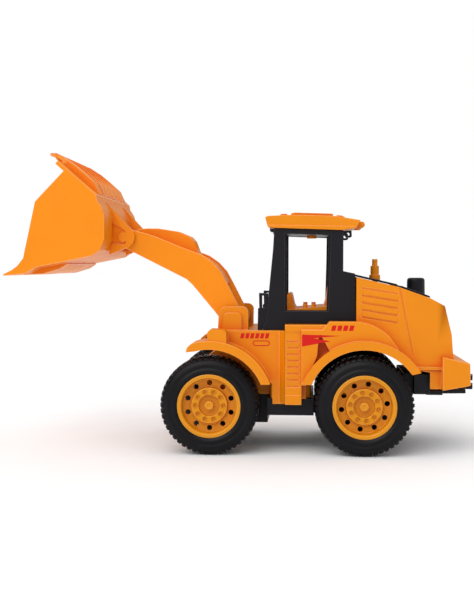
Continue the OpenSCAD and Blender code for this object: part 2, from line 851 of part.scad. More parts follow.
module cab_interior() {
    color(arm_orange)
        union() {
            // floor pan
            slab(-22, 22)
                polygon([[-26.4, 87], [-26.4, 82], [-56, 82], [-56, 89.6], [-50, 89.4], [-31, 87.6]]);
            // dashboard with its top panel
            slab(-20, 20)
                polygon([[-26.4, 85], [-26.4, 95], [-27.2, 95.6], [-32, 88], [-32, 86]]);
            slab(-17, 17)
                polygon([[-26.4, 90], [-26.4, 96.4], [-27.8, 97.6], [-29.4, 96.8], [-31, 89.6], [-31, 87]]);
            // seat back
            slab(-14, 14)
                polygon([
                    [-49.6, 86], [-49.7, 89.6], [-51, 94], [-52.2, 103], [-53, 103.8], [-54.2, 103.4],
                    [-55, 95], [-55.4, 86]
                ]);
            // control knobs
            for (x = [-37.7, -43.1])
                both_sides()
                    translate([x, 18, 86])
                        cylinder(h = 4.6, r = 1.4);
        }
}

module grab_rails() {
    rail_in = 29.4;
    rail_out = 33.2;
    color(plastic_black)
        both_sides()
            slab(rail_in, rail_out)
                difference() {
                    polygon([
                        [-8.6, 75.1], [-8.8, 88.4], [-9.6, 88.6], [-9.4, 97.9], [-15.2, 97.6],
                        [-14.2, 86], [-12.1, 77.4], [-11.4, 75.1]
                    ]);
                    polygon([[-11.3, 88.8], [-11.3, 96.3], [-13.2, 96.3], [-12.7, 88.8]]);
                }
}

// ---- loader arm ----

// the arm's side outline, from the bucket end over the top to the pivot and back underneath
arm_outline = concat(
    arc([tip_x, tip_z], tip_r, -66, 108, 12),
    [[57.6, 133.6], [40.5, 126.6], [26.7, 121.4], [20.4, 117], [14.8, 110.8], [9.1, 100.1], [3, 88]],
    arc([arm_x, arm_z], arm_end_r, 146, 330, 12),
    [[17.4, 84.4], [32.6, 102.6], [36.4, 106.2], [69, 122.6]]
);
// the crown that covers the linkage between the two plates
arm_crown = [
    [70, 138.2], [64, 138.7], [56.4, 138.6], [43.8, 136.6], [36.3, 133.4], [33.6, 130.4],
    [31.4, 124.4], [28.6, 119.6], [30.4, 117.6], [44, 123.6], [60, 130], [68, 132.6]
];
arm_web = [
    [67, 135], [57.6, 132], [41.1, 125.1], [27.4, 119.9], [21.5, 115.7], [16.2, 109.9], [12.8, 103.6],
    [15, 102.4], [18.2, 108.4], [23.2, 113.6], [28.6, 117.4], [42, 122.6], [58.4, 129.6], [67, 132.2]
];

module lift_arm() {
    color(arm_orange)
        difference() {
            union() {
                both_sides()
                    slab(arm_in, arm_out)
                        polygon(arm_outline);
                slab(-arm_in - 1, arm_in + 1)
                    polygon(arm_web);
                slab(-9, 9)
                    polygon(arm_crown);
                bar(arm_x, arm_z, 4, -arm_in - 1, arm_in + 1);
            }
            bar(arm_x, arm_z, pivot_rod_d / 2 + press_gap, -40, 40);
            bar(tip_x, tip_z, bucket_pin_d / 2 - 0.8 + run_gap, -40, 40);
        }
}

module arm_pivot_rod() {
    color(steel)
        bar(arm_x, arm_z, pivot_rod_d / 2, -29.4, 29.4);
}

// ---- bucket ----

// the wrapped plate, outside then inside
bucket_outer = concat(
    [[110.3, 177.6], [87.1, 157.4], [86.4, 153.8], [84, 150.2]],
    [[back_x, 145], [back_x, 130.6], [85, 124], [90.1, 120.6], [123.9, 113.8], [131.2, 109.9], [144.8, 108.6]]
);
bucket_inner = [
    [144.4, 109.6], [135.8, 113.6], [132, 113.4], [124.4, 116.2], [91.2, 122.9], [87, 125.6], [84.6, 131.4],
    [84.6, 144.4], [86.2, 149], [89.4, 156.2], [111.8, 175.8]
];
bucket_side = [
    [105.2, 173], [124.4, 153.3], [131.9, 119.2], [135.6, 114.6], [140, 111.4], [131.2, 109.9],
    [123.9, 113.8], [90.1, 120.6], [85, 124], [back_x, 130.6], [back_x, 145], [84, 150.2], [86.4, 153.8],
    [87.1, 157.4]
];
guard_outer = [
    [127.8, 187.4], [117.5, 185], [109.5, 181], [102, 175.6], [96.3, 170.8], [91, 166], [87.6, 158.6]
];
// underside of the guard, which springs from the bucket's back plate
guard_inner = [[88.4, 157.4], [110.9, 177], [112, 179.7], [118, 182.6], [127, 185.8]];
wear_plate = [
    [135.4, 109.2], [122.7, 109.8], [112.6, 112.8], [108.4, 115.4], [108.6, 117.4], [124.4, 114.2],
    [131.2, 110.4]
];
ear_outline = concat(
    [[84.4, 121.6], [89.4, 156.6], [87.6, 155.6]],
    arc([tip_x, tip_z], 7, 136, 250, 12)
);

module bucket() {
    guard_y = 44;
    guard_steps = 24;
    side_fold = 2.4;
    color(arm_orange)
        difference() {
            union() {
                slab(-bucket_y, bucket_y)
                    polygon(concat(bucket_outer, bucket_inner));
                both_sides() {
                    slab(bucket_y - bucket_t, bucket_y)
                        polygon(bucket_side);
                    slab(ear_in, ear_out)
                        polygon(ear_outline);
                }
                // spill guard: a curved sheet cut to an arch seen from above
                intersection() {
                    slab(-guard_y, guard_y)
                        polygon(concat(guard_outer, guard_inner));
                    linear_extrude(200)
                        polygon(concat(
                            [[80, -guard_y], [108, -guard_y]],
                            [
                                for (i = [1:guard_steps - 1])
                                    let (share = i / guard_steps)
                                        [108 + 19.8 * sin(180 * share), guard_y * (2 * share - 1)]
                            ],
                            [[108, guard_y], [80, guard_y]]
                        ));
                }
                for (y = [-30, -15, 0, 15, 30])
                    slab(y - 1, y + 1)
                        polygon([[119, 184.6], [109.5, 181.4], [102, 176.6], [95.6, 171.4], [90.6, 166.4],
                                 [87.2, 159], [88.6, 157.6], [96, 163], [108, 173.6], [117, 180.6]]);
                slab(-42, 42)
                    polygon(wear_plate);
            }
            both_sides()
                bar(tip_x, tip_z, bucket_pin_d / 2 + press_gap, ear_in - 1, ear_out + 1);
            both_sides() {
                // hollowed face of each ear
                slab(ear_out - 1, ear_out + 1)
                    difference() {
                        polygon([[84.6, 143], [84.6, 128.4], [74.6, 127.9], [72.4, 133], [75.4, 137.4]]);
                        translate([tip_x, tip_z])
                            circle(r = bucket_pin_d / 2 + 0.9);
                    }
                // side plate folded in along two creases, to the mouth and to the floor
                translate([104.2, bucket_y, 170.2])
                    rotate([0, -22.4, 0])
                        rotate([0, 0, -side_fold])
                            translate([0, 0, -90])
                                cube([80, 12, 120]);
                translate([90.1, bucket_y, 125.6])
                    rotate([0, -17.6, 0])
                        rotate([-side_fold, 0, 0])
                            translate([-40, 0, -40])
                                cube([110, 12, 40]);
            }
        }
}

module left_bucket_pin() {
    union() {
        bar(tip_x, tip_z, bucket_pin_d / 2, ear_in, ear_out);
        bar(tip_x, tip_z, bucket_pin_d / 2 - 0.8, arm_in + 0.2, ear_in + 0.1);
    }
}

module bucket_pin_left() { color(arm_orange) left_bucket_pin(); }
module bucket_pin_right() { color(arm_orange) mirror([0, 1, 0]) left_bucket_pin(); }

chassis_tray();
front_body();
rear_body();
hood_cover();
exhaust_stack();
air_cleaner();
cab_frame();
cab_roof();
cab_interior();
grab_rails();
tow_hitch();
gearbox_left();
gearbox_right();
gearbox_screws();
chassis_screws();
cab_screws();
front_axle();
axle_gear();
front_rim_left();
front_rim_right();
front_tyre_left();
front_tyre_right();
rear_axle();
rear_rim_left();
rear_rim_right();
rear_tyre_left();
rear_tyre_right();
idler_shaft();
idler_gear();
flywheel_shaft();
flywheel_pinion();
flywheel();
lift_arm();
arm_pivot_rod();
bucket();
bucket_pin_left();
bucket_pin_right();
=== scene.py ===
"""Finished look of a toy front loader: moulded edges, treaded tyres, trim, finishes and a pale studio.

X points to the loader's front, Y to its left side and Z up. Sizes in the tables are millimetres.
"""

import json
import math

import bmesh
import bpy
import numpy as np
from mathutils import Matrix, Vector

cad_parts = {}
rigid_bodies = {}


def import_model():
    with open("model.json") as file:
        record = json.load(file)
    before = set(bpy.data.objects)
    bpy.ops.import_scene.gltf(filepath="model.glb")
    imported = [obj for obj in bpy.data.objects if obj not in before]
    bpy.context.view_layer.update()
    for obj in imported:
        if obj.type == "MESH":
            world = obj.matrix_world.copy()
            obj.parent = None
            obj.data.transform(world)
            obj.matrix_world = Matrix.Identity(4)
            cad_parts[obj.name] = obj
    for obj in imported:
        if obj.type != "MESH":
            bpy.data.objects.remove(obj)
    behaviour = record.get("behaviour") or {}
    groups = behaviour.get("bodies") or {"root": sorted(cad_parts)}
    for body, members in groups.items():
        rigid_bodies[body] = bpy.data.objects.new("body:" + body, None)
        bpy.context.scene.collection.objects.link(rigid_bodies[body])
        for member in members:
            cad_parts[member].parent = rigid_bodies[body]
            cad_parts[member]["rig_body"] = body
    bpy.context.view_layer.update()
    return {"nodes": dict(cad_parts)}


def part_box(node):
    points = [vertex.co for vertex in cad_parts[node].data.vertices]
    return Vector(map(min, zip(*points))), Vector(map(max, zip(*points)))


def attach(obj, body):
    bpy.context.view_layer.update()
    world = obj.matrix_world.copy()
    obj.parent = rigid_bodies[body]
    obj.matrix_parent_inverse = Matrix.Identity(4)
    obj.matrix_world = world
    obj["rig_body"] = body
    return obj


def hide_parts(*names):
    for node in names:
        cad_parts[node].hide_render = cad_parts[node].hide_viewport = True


bl_info = {
    "name": "Toy front loader",
    "version": (1, 0, 0),
    "blender": (4, 5, 0),
    "location": "View3D > Sidebar > Toy loader",
    "description": "Builds the moulded, rubber and steel pieces of a toy front loader and its studio",
    "category": "Object",
}

MM = 0.001
# shading breaks at edges that bend more than this
SMOOTH_UNDER = math.radians(40)
# edges that bend more than this are rounded as a mould leaves them
ROUNDED_OVER = math.radians(24)
# a fold between these angles, beside two flats over this area, is drawn crisp
CREASE_OVER, CREASE_UNDER = math.radians(1), math.radians(9)
CREASE_FLAT = 300 * MM * MM
# points of a new mesh, and of a CAD mesh, that are closer than this are one point, in metres
SAME_NEW_POINT, SAME_CAD_POINT = 1e-7, 2e-6
# faces whose normals agree better than this lie in one flat
SAME_FLAT = 0.99995
# flats that meet at less than this are joined, save those whose normal and level match a folded one this well
JOINED_UNDER = math.radians(0.15)
FOLDED_NORMAL, FOLDED_LEVEL = 0.9999, 2e-5
# a face is folded when its triangles miss its area by more than this area and share
FOLD_AREA, FOLD_SHARE = 2e-8, 0.002
# sine of the angle over which a neighbouring edge counts as leaving
LEAVES_OVER = 0.3
# share of the room between two edges that one rounding may take
ROOM_SHARE = 0.42
# a rounding narrower than this is left sharp
LEAST_ROUNDING = 0.02 * MM
ROUNDING_TRIES = 6

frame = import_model()


def linear(hex_colour):
    """Linear red, green and blue of an sRGB hex colour such as #F59A22."""
    parts = [int(hex_colour[i : i + 2], 16) / 255 for i in (1, 3, 5)]
    return tuple(c / 12.92 if c <= 0.04045 else ((c + 0.055) / 1.055) ** 2.4 for c in parts)


# ---- sizes and colours that a user would change ----


class LoaderColours(bpy.types.PropertyGroup):
    body: bpy.props.FloatVectorProperty(
        name="Body orange",
        description="Colour of the body shells, hood and roof",
        subtype="COLOR",
        min=0,
        max=1,
        default=linear("#E48708"),
    )
    arm: bpy.props.FloatVectorProperty(
        name="Arm orange",
        description="Redder orange of the arm, bucket and cab interior",
        subtype="COLOR",
        min=0,
        max=1,
        default=linear("#F08A08"),
    )
    rim: bpy.props.FloatVectorProperty(
        name="Rim orange",
        description="Yellower orange of the wheel rims",
        subtype="COLOR",
        min=0,
        max=1,
        default=linear("#D68B08"),
    )
    black: bpy.props.FloatVectorProperty(
        name="Black plastic",
        description="Colour of the cab frame, hood cover, tray and hitch",
        subtype="COLOR",
        min=0,
        max=1,
        default=linear("#141218"),
    )
    tyre: bpy.props.FloatVectorProperty(
        name="Tyre rubber",
        description="Colour of the soft tyres",
        subtype="COLOR",
        min=0,
        max=1,
        default=linear("#08070A"),
    )
    print_red: bpy.props.FloatVectorProperty(
        name="Printed red",
        description="Colour of the printed flashes",
        subtype="COLOR",
        min=0,
        max=1,
        default=linear("#C40E06"),
    )


class LoaderSizes(bpy.types.PropertyGroup):
    edge: bpy.props.FloatProperty(
        name="Shell edge radius",
        description="Rounding of the moulded edges on the large shells",
        subtype="DISTANCE",
        unit="LENGTH",
        default=0.35 * MM,
        min=0,
        max=1 * MM,
    )
    small_edge: bpy.props.FloatProperty(
        name="Small edge radius",
        description="Rounding of the edges on small mouldings and steel pieces",
        subtype="DISTANCE",
        unit="LENGTH",
        default=0.18 * MM,
        min=0,
        max=0.5 * MM,
    )
    lugs: bpy.props.IntProperty(
        name="Tread lugs",
        description="Lugs in one row round a tyre",
        default=50,
        min=12,
        max=90,
    )
    rear_turn: bpy.props.FloatProperty(
        name="Rear wheel turn",
        description="How far the rear tyres have rolled from the front ones",
        subtype="ANGLE",
        unit="ROTATION",
        default=math.radians(10),
    )
    print_thickness: bpy.props.FloatProperty(
        name="Print thickness",
        description="How far the printed flashes stand off the shell",
        subtype="DISTANCE",
        unit="LENGTH",
        default=0.06 * MM,
        min=0.02 * MM,
        max=0.3 * MM,
    )
    front_light: bpy.props.FloatProperty(
        name="Front light",
        description="Strength of the even light from the front ceiling",
        default=1.15,
        min=0,
        max=20,
    )
    top_light: bpy.props.FloatProperty(
        name="Top light",
        description="Strength of the even light from overhead",
        default=0.6,
        min=0,
        max=20,
    )
    softbox: bpy.props.FloatProperty(
        name="Softbox power",
        description="Power of the softbox that draws the highlights",
        unit="POWER",
        default=0.6,
        min=0,
        max=100,
    )


def colours():
    return bpy.context.scene.loader_colours


def sizes():
    return bpy.context.scene.loader_sizes


# ---- finishes ----


def put(tree, kind, values=None, links=None, **settings):
    """Adds one node with its settings, socket values and incoming links."""
    made = tree.nodes.new(kind)
    for name, value in settings.items():
        setattr(made, name, value)
    for socket, value in (values or {}).items():
        made.inputs[socket].default_value = value
    for socket, source in (links or {}).items():
        tree.links.new(source, made.inputs[socket])
    return made


def new_finish(name):
    """An empty material with its output node and Object coordinates."""
    material = bpy.data.materials.new(name)
    material.use_nodes = True
    tree = material.node_tree
    tree.nodes.clear()
    output = put(tree, "ShaderNodeOutputMaterial")
    place = put(tree, "ShaderNodeTexCoord").outputs["Object"]
    return material, tree, output, place


def moulded_plastic(name, colour, rough, grain_mm, grain_depth_mm, deep=0.9, recess=None, gloss=0.2):
    """Injection-moulded ABS or polypropylene: an even satin skin with faint flow shading,
    a fine spark-eroded grain, rubbed, shinier patches and, given a recess colour, painted shade in recesses."""
    material, tree, output, place = new_finish(name)
    rgb = tuple(colour)
    # flow shading: the melt's slow colour drift over about 30 mm
    flow = put(tree, "ShaderNodeTexNoise", {"Scale": 1 / (30 * MM), "Detail": 2}, {"Vector": place})
    tint = put(
        tree,
        "ShaderNodeMix",
        {6: (*(c * deep for c in rgb), 1), 7: (*(min(1, c * 1.04) for c in rgb), 1)},
        {0: flow.outputs["Fac"]},
        data_type="RGBA",
    )
    # rubbed patches: about 12 mm across
    rubbed = put(tree, "ShaderNodeTexNoise", {"Scale": 1 / (12 * MM), "Detail": 3}, {"Vector": place})
    sheen = put(
        tree,
        "ShaderNodeMapRange",
        {"From Min": 0.3, "From Max": 0.7, "To Min": rough - 0.06, "To Max": rough + 0.07},
        {"Value": rubbed.outputs["Fac"]},
    )
    # the tool's real grain is near 0.1 mm; it is drawn coarser so that it shows
    grain = put(tree, "ShaderNodeTexNoise", {"Scale": 1 / (grain_mm * MM), "Detail": 2}, {"Vector": place})
    sink = put(tree, "ShaderNodeTexNoise", {"Scale": 1 / (18 * MM), "Detail": 1}, {"Vector": place})
    skin = put(
        tree,
        "ShaderNodeBump",
        {"Strength": 0.5, "Distance": 0.25 * MM},
        {"Height": sink.outputs["Fac"]},
    )
    bump = put(
        tree,
        "ShaderNodeBump",
        {"Strength": 0.35, "Distance": grain_depth_mm * MM},
        {"Height": grain.outputs["Fac"], "Normal": skin.outputs["Normal"]},
    )
    skin_colour = tint.outputs[2]
    if recess:
        # painted shade: where ambient occlusion finds a recess, the colour is mixed towards the deeper, redder
        # recess colour, standing in for light bounced inside it; recesses of about 9 mm count
        painted_recess_shade = put(
            tree, "ShaderNodeAmbientOcclusion", {"Distance": 9 * MM}, samples=6, only_local=True
        )
        open_part = put(
            tree,
            "ShaderNodeMapRange",
            {"From Min": 0.1, "From Max": 0.85},
            {"Value": painted_recess_shade.outputs["AO"]},
        )
        skin_colour = put(
            tree,
            "ShaderNodeMix",
            {6: (*recess, 1)},
            {0: open_part.outputs["Result"], 7: skin_colour},
            data_type="RGBA",
        ).outputs[2]
    shader = put(
        tree,
        "ShaderNodeBsdfPrincipled",
        {"IOR": 1.5, "Specular IOR Level": gloss},
        {
            "Base Color": skin_colour,
            "Roughness": sheen.outputs["Result"],
            "Normal": bump.outputs["Normal"],
        },
    )
    tree.links.new(shader.outputs["BSDF"], output.inputs["Surface"])
    return material


def vulcanised_rubber(name, colour):
    """Soft tyre rubber: dull black with a broad grey sheen and a dry bloom."""
    material, tree, output, place = new_finish(name)
    rgb = tuple(colour)
    bloom = put(tree, "ShaderNodeTexNoise", {"Scale": 1 / (14 * MM), "Detail": 4}, {"Vector": place})
    spread = put(
        tree,
        "ShaderNodeMapRange",
        {"From Min": 0.35, "From Max": 0.75},
        {"Value": bloom.outputs["Fac"]},
    )
    tint = put(
        tree,
        "ShaderNodeMix",
        {6: (*rgb, 1), 7: (*(c * 1.9 for c in rgb), 1)},
        {0: spread.outputs["Result"]},
        data_type="RGBA",
    )
    rough = put(
        tree,
        "ShaderNodeMapRange",
        {"From Min": 0.3, "From Max": 0.7, "To Min": 0.3, "To Max": 0.46},
        {"Value": bloom.outputs["Fac"]},
    )
    # fine moulded skin, drawn at 0.4 mm
    skin = put(tree, "ShaderNodeTexNoise", {"Scale": 1 / (0.4 * MM), "Detail": 3}, {"Vector": place})
    bump = put(
        tree,
        "ShaderNodeBump",
        {"Strength": 0.6, "Distance": 0.03 * MM},
        {"Height": skin.outputs["Fac"]},
    )
    shader = put(
        tree,
        "ShaderNodeBsdfPrincipled",
        {"IOR": 1.52, "Specular IOR Level": 0.16},
        {
            "Base Color": tint.outputs[2],
            "Roughness": rough.outputs["Result"],
            "Normal": bump.outputs["Normal"],
        },
    )
    tree.links.new(shader.outputs["BSDF"], output.inputs["Surface"])
    return material


def plated_steel(name):
    """Zinc-plated drawn steel: cool grey metal with fine drawing lines and slightly cloudy plating."""
    material, tree, output, place = new_finish(name)
    stretch = put(tree, "ShaderNodeMapping", {"Scale": (1, 0.06, 1)}, {"Vector": place})
    lines = put(
        tree,
        "ShaderNodeTexNoise",
        {"Scale": 1 / (0.25 * MM), "Detail": 2},
        {"Vector": stretch.outputs["Vector"]},
    )
    cloud = put(tree, "ShaderNodeTexNoise", {"Scale": 1 / (3 * MM), "Detail": 3}, {"Vector": place})
    tint = put(
        tree,
        "ShaderNodeMix",
        {6: (*linear("#A9ADB2"), 1), 7: (*linear("#C9CBCC"), 1)},
        {0: cloud.outputs["Fac"]},
        data_type="RGBA",
    )
    rough = put(
        tree,
        "ShaderNodeMapRange",
        {"From Min": 0.3, "From Max": 0.7, "To Min": 0.22, "To Max": 0.42},
        {"Value": lines.outputs["Fac"]},
    )
    bump = put(
        tree,
        "ShaderNodeBump",
        {"Strength": 0.4, "Distance": 0.01 * MM},
        {"Height": lines.outputs["Fac"]},
    )
    shader = put(
        tree,
        "ShaderNodeBsdfPrincipled",
        {"Metallic": 1},
        {
            "Base Color": tint.outputs[2],
            "Roughness": rough.outputs["Result"],
            "Normal": bump.outputs["Normal"],
        },
    )
    tree.links.new(shader.outputs["BSDF"], output.inputs["Surface"])
    return material


def printed_ink(name, colour):
    """Pad-printed ink on plastic: strong even red with a slight gloss and faint thin spots."""
    material, tree, output, place = new_finish(name)
    rgb = tuple(colour)
    thin = put(tree, "ShaderNodeTexNoise", {"Scale": 1 / (0.8 * MM), "Detail": 3}, {"Vector": place})
    tint = put(
        tree,
        "ShaderNodeMix",
        {6: (*rgb, 1), 7: (*(min(1, c * 1.15 + 0.004) for c in rgb), 1)},
        {0: thin.outputs["Fac"]},
        data_type="RGBA",
    )
    rough = put(
        tree,
        "ShaderNodeMapRange",
        {"To Min": 0.26, "To Max": 0.4},
        {"Value": thin.outputs["Fac"]},
    )
    shader = put(
        tree,
        "ShaderNodeBsdfPrincipled",
        {"IOR": 1.5, "Specular IOR Level": 0.2},
        {"Base Color": tint.outputs[2], "Roughness": rough.outputs["Result"]},
    )
    tree.links.new(shader.outputs["BSDF"], output.inputs["Surface"])
    return material


def studio_paper(name):
    """Matt seamless studio paper: almost white, with a soft fibre mottle."""
    material, tree, output, place = new_finish(name)
    fibre = put(tree, "ShaderNodeTexNoise", {"Scale": 1 / (40 * MM), "Detail": 2}, {"Vector": place})
    tint = put(
        tree,
        "ShaderNodeMix",
        {6: (*linear("#F6F6F7"), 1), 7: (*linear("#FBFBFB"), 1)},
        {0: fibre.outputs["Fac"]},
        data_type="RGBA",
    )
    shader = put(tree, "ShaderNodeBsdfPrincipled", {"Roughness": 0.9}, {"Base Color": tint.outputs[2]})
    tree.links.new(shader.outputs["BSDF"], output.inputs["Surface"])
    return material


def lighter(colour, by, lift):
    return [min(1, c * by + lift) for c in colour]


# the edge finishes go on the rounded edges: glossier, where handling and the tool's seam polish the skin, and
# lighter in colour, which is a painted highlight
FINISHES = {
    # the recess colours are painted shade: deeper, redder oranges mixed into recesses
    "orange_plastic": lambda: moulded_plastic(
        "Satin moulded ABS, orange", colours().body, 0.4, 0.5, 0.015, recess=linear("#DA4A04")
    ),
    "orange_edge": lambda: moulded_plastic(
        "Glossy edge of orange ABS, lightened as a painted highlight", lighter(colours().body, 1.08, 0.03), 0.28, 0.5, 0.01, 0.97, gloss=0.6
    ),
    "bright_orange_plastic": lambda: moulded_plastic(
        "Satin moulded polypropylene, red-orange", colours().arm, 0.4, 0.6, 0.015, recess=linear("#E04E05")
    ),
    "bright_orange_edge": lambda: moulded_plastic(
        "Polished edge of red-orange polypropylene",
        lighter(colours().arm, 1.06, 0.05),
        0.26,
        0.6,
        0.01,
        0.97,
        gloss=0.7,
    ),
    "rim_plastic": lambda: moulded_plastic(
        "Satin moulded ABS, rim orange", colours().rim, 0.36, 0.5, 0.012, recess=linear("#B8500A")
    ),
    "rim_edge": lambda: moulded_plastic(
        "Glossy edge of rim ABS, lightened as a painted highlight", lighter(colours().rim, 1.1, 0.02), 0.28, 0.5, 0.01, 0.97, gloss=0.6
    ),
    "black_plastic": lambda: moulded_plastic(
        "Satin moulded ABS, black", colours().black, 0.42, 0.45, 0.025, 0.7
    ),
    "black_edge": lambda: moulded_plastic(
        "Glossy edge of black ABS, lightened as a painted highlight", lighter(colours().black, 2.0, 0.003), 0.32, 0.45, 0.02, 0.8, gloss=0.4
    ),
    "tyre_rubber": lambda: vulcanised_rubber("Soft vulcanised rubber, black", colours().tyre),
    "steel": lambda: plated_steel("Zinc-plated drawn steel"),
    "natural_nylon": lambda: moulded_plastic(
        "Moulded nylon, natural", linear("#E2DDCF"), 0.46, 0.4, 0.01, 0.93
    ),
    "printed_red": lambda: printed_ink("Pad-printed red ink", colours().print_red),
    "paper": lambda: studio_paper("Matt white studio paper"),
}
EDGES = {
    "orange_plastic": "orange_edge",
    "bright_orange_plastic": "bright_orange_edge",
    "rim_plastic": "rim_edge",
    "black_plastic": "black_edge",
}
made_finishes = {}


def finish(name):
    """The material of that name, made once."""
    if name not in made_finishes:
        made_finishes[name] = FINISHES[name]()
    return made_finishes[name]


# ---- mesh helpers ----


def new_piece(name, mesh):
    piece = bpy.data.objects.new(name, mesh)
    bpy.context.scene.collection.objects.link(piece)
    return piece


def mesh_from(name, build, outward=True):
    """A mesh made by build(bm), with doubles merged and, on a closed shape, faces outwards."""
    bm = bmesh.new()
    build(bm)
    bmesh.ops.remove_doubles(bm, verts=bm.verts, dist=SAME_NEW_POINT)
    if outward:
        bmesh.ops.recalc_face_normals(bm, faces=bm.faces)
    mesh = bpy.data.meshes.new(name)
    bm.to_mesh(mesh)
    bm.free()
    return mesh


def soften(mesh):
    mesh.shade_smooth()
    mesh.set_sharp_from_angle(angle=SMOOTH_UNDER)


def flatten_modifiers(piece):
    """Turns the modified shape into the piece's own plain mesh and removes the modifiers."""
    shape = piece.evaluated_get(bpy.context.evaluated_depsgraph_get())
    mesh = bpy.data.meshes.new_from_object(shape)
    piece.modifiers.clear()
    piece.data = mesh


def hand_over(piece, body, slot, *nodes):
    """The piece rides on its body and stands for its CAD nodes. The slot is not used."""
    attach(piece, body)
    if nodes:
        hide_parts(*nodes)


def segment_gaps(a, b):
    """Distances between every two of the segments a[i]-b[i], taken from their end points."""
    d = b - a
    length2 = np.maximum((d * d).sum(1), 1e-18)
    gaps = np.full((len(a), len(a)), np.inf)
    for p in (a, b):
        t = ((p[:, None] - a[None]) * d[None]).sum(2) / length2[None]
        near = a[None] + np.clip(t, 0, 1)[..., None] * d[None]
        to_line = np.linalg.norm(p[:, None] - near, axis=2)
        gaps = np.minimum(gaps, np.minimum(to_line, to_line.T))
    return gaps


def rounding_room(bm, sharp):
    """How wide a rounding each sharp edge has room for on the flat areas beside it, in metres."""
    room = {e: 1.0 for e in sharp}
    seen = set()
    for first in bm.faces:
        if first in seen:
            continue
        seen.add(first)
        flat, wait = [], [first]
        while wait:
            face = wait.pop()
            flat.append(face)
            for e in face.edges:
                for other in e.link_faces:
                    if other not in seen and face.normal.dot(other.normal) > SAME_FLAT:
                        seen.add(other)
                        wait.append(other)
        rim = [e for e in {e for face in flat for e in face.edges} if e in sharp]
        if len(rim) < 2:
            continue
        a = np.array([e.verts[0].co for e in rim])
        b = np.array([e.verts[1].co for e in rim])
        gaps = segment_gaps(a, b)
        ends = np.array([[v.index for v in e.verts] for e in rim])
        touch = (ends[:, None, :, None] == ends[None, :, None, :]).any((2, 3))
        gaps[touch] = np.inf
        d = b - a
        span = np.linalg.norm(d, axis=1)
        unit = d / np.maximum(span, 1e-12)[:, None]
        cross = np.linalg.norm(np.cross(unit[:, None], unit[None]), axis=2)
        # a neighbour that leaves at an angle is shortened by this edge's rounding
        shortened = np.where(touch & (cross > LEAVES_OVER), cross * span[None], np.inf)
        np.fill_diagonal(shortened, np.inf)
        least = np.minimum(gaps.min(1), shortened.min(1)) * ROOM_SHARE
        for e, value in zip(rim, least):
            room[e] = min(room[e], float(value))
    return room


def folded_faces(mesh):
    """Faces whose outline crosses itself, so that their triangles don't add up to their own area."""
    mesh.calc_loop_triangles()
    total = np.zeros(len(mesh.polygons))
    for triangle in mesh.loop_triangles:
        total[triangle.polygon_index] += triangle.area
    return [p for p in mesh.polygons if abs(total[p.index] - p.area) > FOLD_AREA + FOLD_SHARE * p.area]


def merged_copy(node):
    """The CAD node's shape with its doubles merged and its flats joined, save where one would fold."""
    whole = bmesh.new()
    whole.from_mesh(frame["nodes"][node].data)
    bmesh.ops.remove_doubles(whole, verts=whole.verts, dist=SAME_CAD_POINT)
    bmesh.ops.dissolve_degenerate(whole, edges=whole.edges, dist=SAME_CAD_POINT / 2)
    kept = []
    for attempt in range(2):
        bm = whole.copy()
        bm.normal_update()
        free = [
            e
            for e in bm.edges
            if not any(
                abs(f.normal.dot(normal)) > FOLDED_NORMAL
                and abs(f.verts[0].co.dot(normal) - level) < FOLDED_LEVEL
                for f in e.link_faces
                for normal, level in kept
            )
        ]
        bmesh.ops.dissolve_limit(bm, angle_limit=JOINED_UNDER, verts=bm.verts, edges=free)
        trial = bpy.data.meshes.new("trial")
        bm.to_mesh(trial)
        kept = [(p.normal.copy(), trial.vertices[p.vertices[0]].co.dot(p.normal)) for p in folded_faces(trial)]
        bpy.data.meshes.remove(trial)
        if not kept or attempt:
            break
        bm.free()
    whole.free()
    return bm


def is_crease(edge):
    """A slight fold between two large flats, which shows as a crisp line."""
    if len(edge.link_faces) != 2 or not CREASE_OVER < edge.calc_face_angle(0) < CREASE_UNDER:
        return False
    return min(face.calc_area() for face in edge.link_faces) > CREASE_FLAT


def moulded_copy(node, radius, slot, segments=3):
    """A copy of a CAD node with its sharp edges rounded as a mould leaves them, in place of the node."""
    bm = merged_copy(node)
    weights = bm.edges.layers.float.new("bevel_weight_edge")
    for face in bm.faces:
        face.smooth = True
    sharp = {e for e in bm.edges if len(e.link_faces) == 2 and e.calc_face_angle(0) > ROUNDED_OVER}
    bm.verts.index_update()
    bm.normal_update()
    crisp = {e for e in bm.edges if is_crease(e)}
    for e, room in rounding_room(bm, sharp).items():
        e[weights] = min(1.0, room / radius)
    piece = new_piece(node + "_moulded", bpy.data.meshes.new(node + "_moulded"))
    for attempt in range(ROUNDING_TRIES):
        plain = bpy.data.meshes.new(piece.name)
        for e in bm.edges:
            e.smooth = not (e in crisp or (e in sharp and e[weights] * radius < LEAST_ROUNDING))
        bm.to_mesh(plain)
        plain.materials.append(finish(slot))
        plain.materials.append(finish(EDGES.get(slot, slot)))
        piece.data = plain
        rounding = piece.modifiers.new("Rounding", "BEVEL")
        rounding.width = radius
        rounding.segments = segments
        rounding.limit_method = "WEIGHT"
        rounding.use_clamp_overlap = False
        # the rounded faces take slot 1, the edge finish that is lighter in colour: a painted highlight
        rounding.material = 1
        even = piece.modifiers.new("Even shading", "WEIGHTED_NORMAL")
        even.keep_sharp = True
        flatten_modifiers(piece)
        folded = folded_faces(piece.data)
        if not folded or attempt == ROUNDING_TRIES - 1:
            break
        # an edge beside a folded face is rounded half as wide, and after three tries not at all
        spots = np.array([piece.data.vertices[v].co for p in folded for v in p.vertices])
        for e in sharp:
            low = np.minimum(*(np.array(v.co) for v in e.verts)) - 1.5 * radius
            high = np.maximum(*(np.array(v.co) for v in e.verts)) + 1.5 * radius
            if ((spots > low) & (spots < high)).all(1).any():
                e[weights] *= 0.5 if attempt < 3 else 0.0
    bm.free()
    hand_over(piece, frame["nodes"][node]["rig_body"], slot, node)


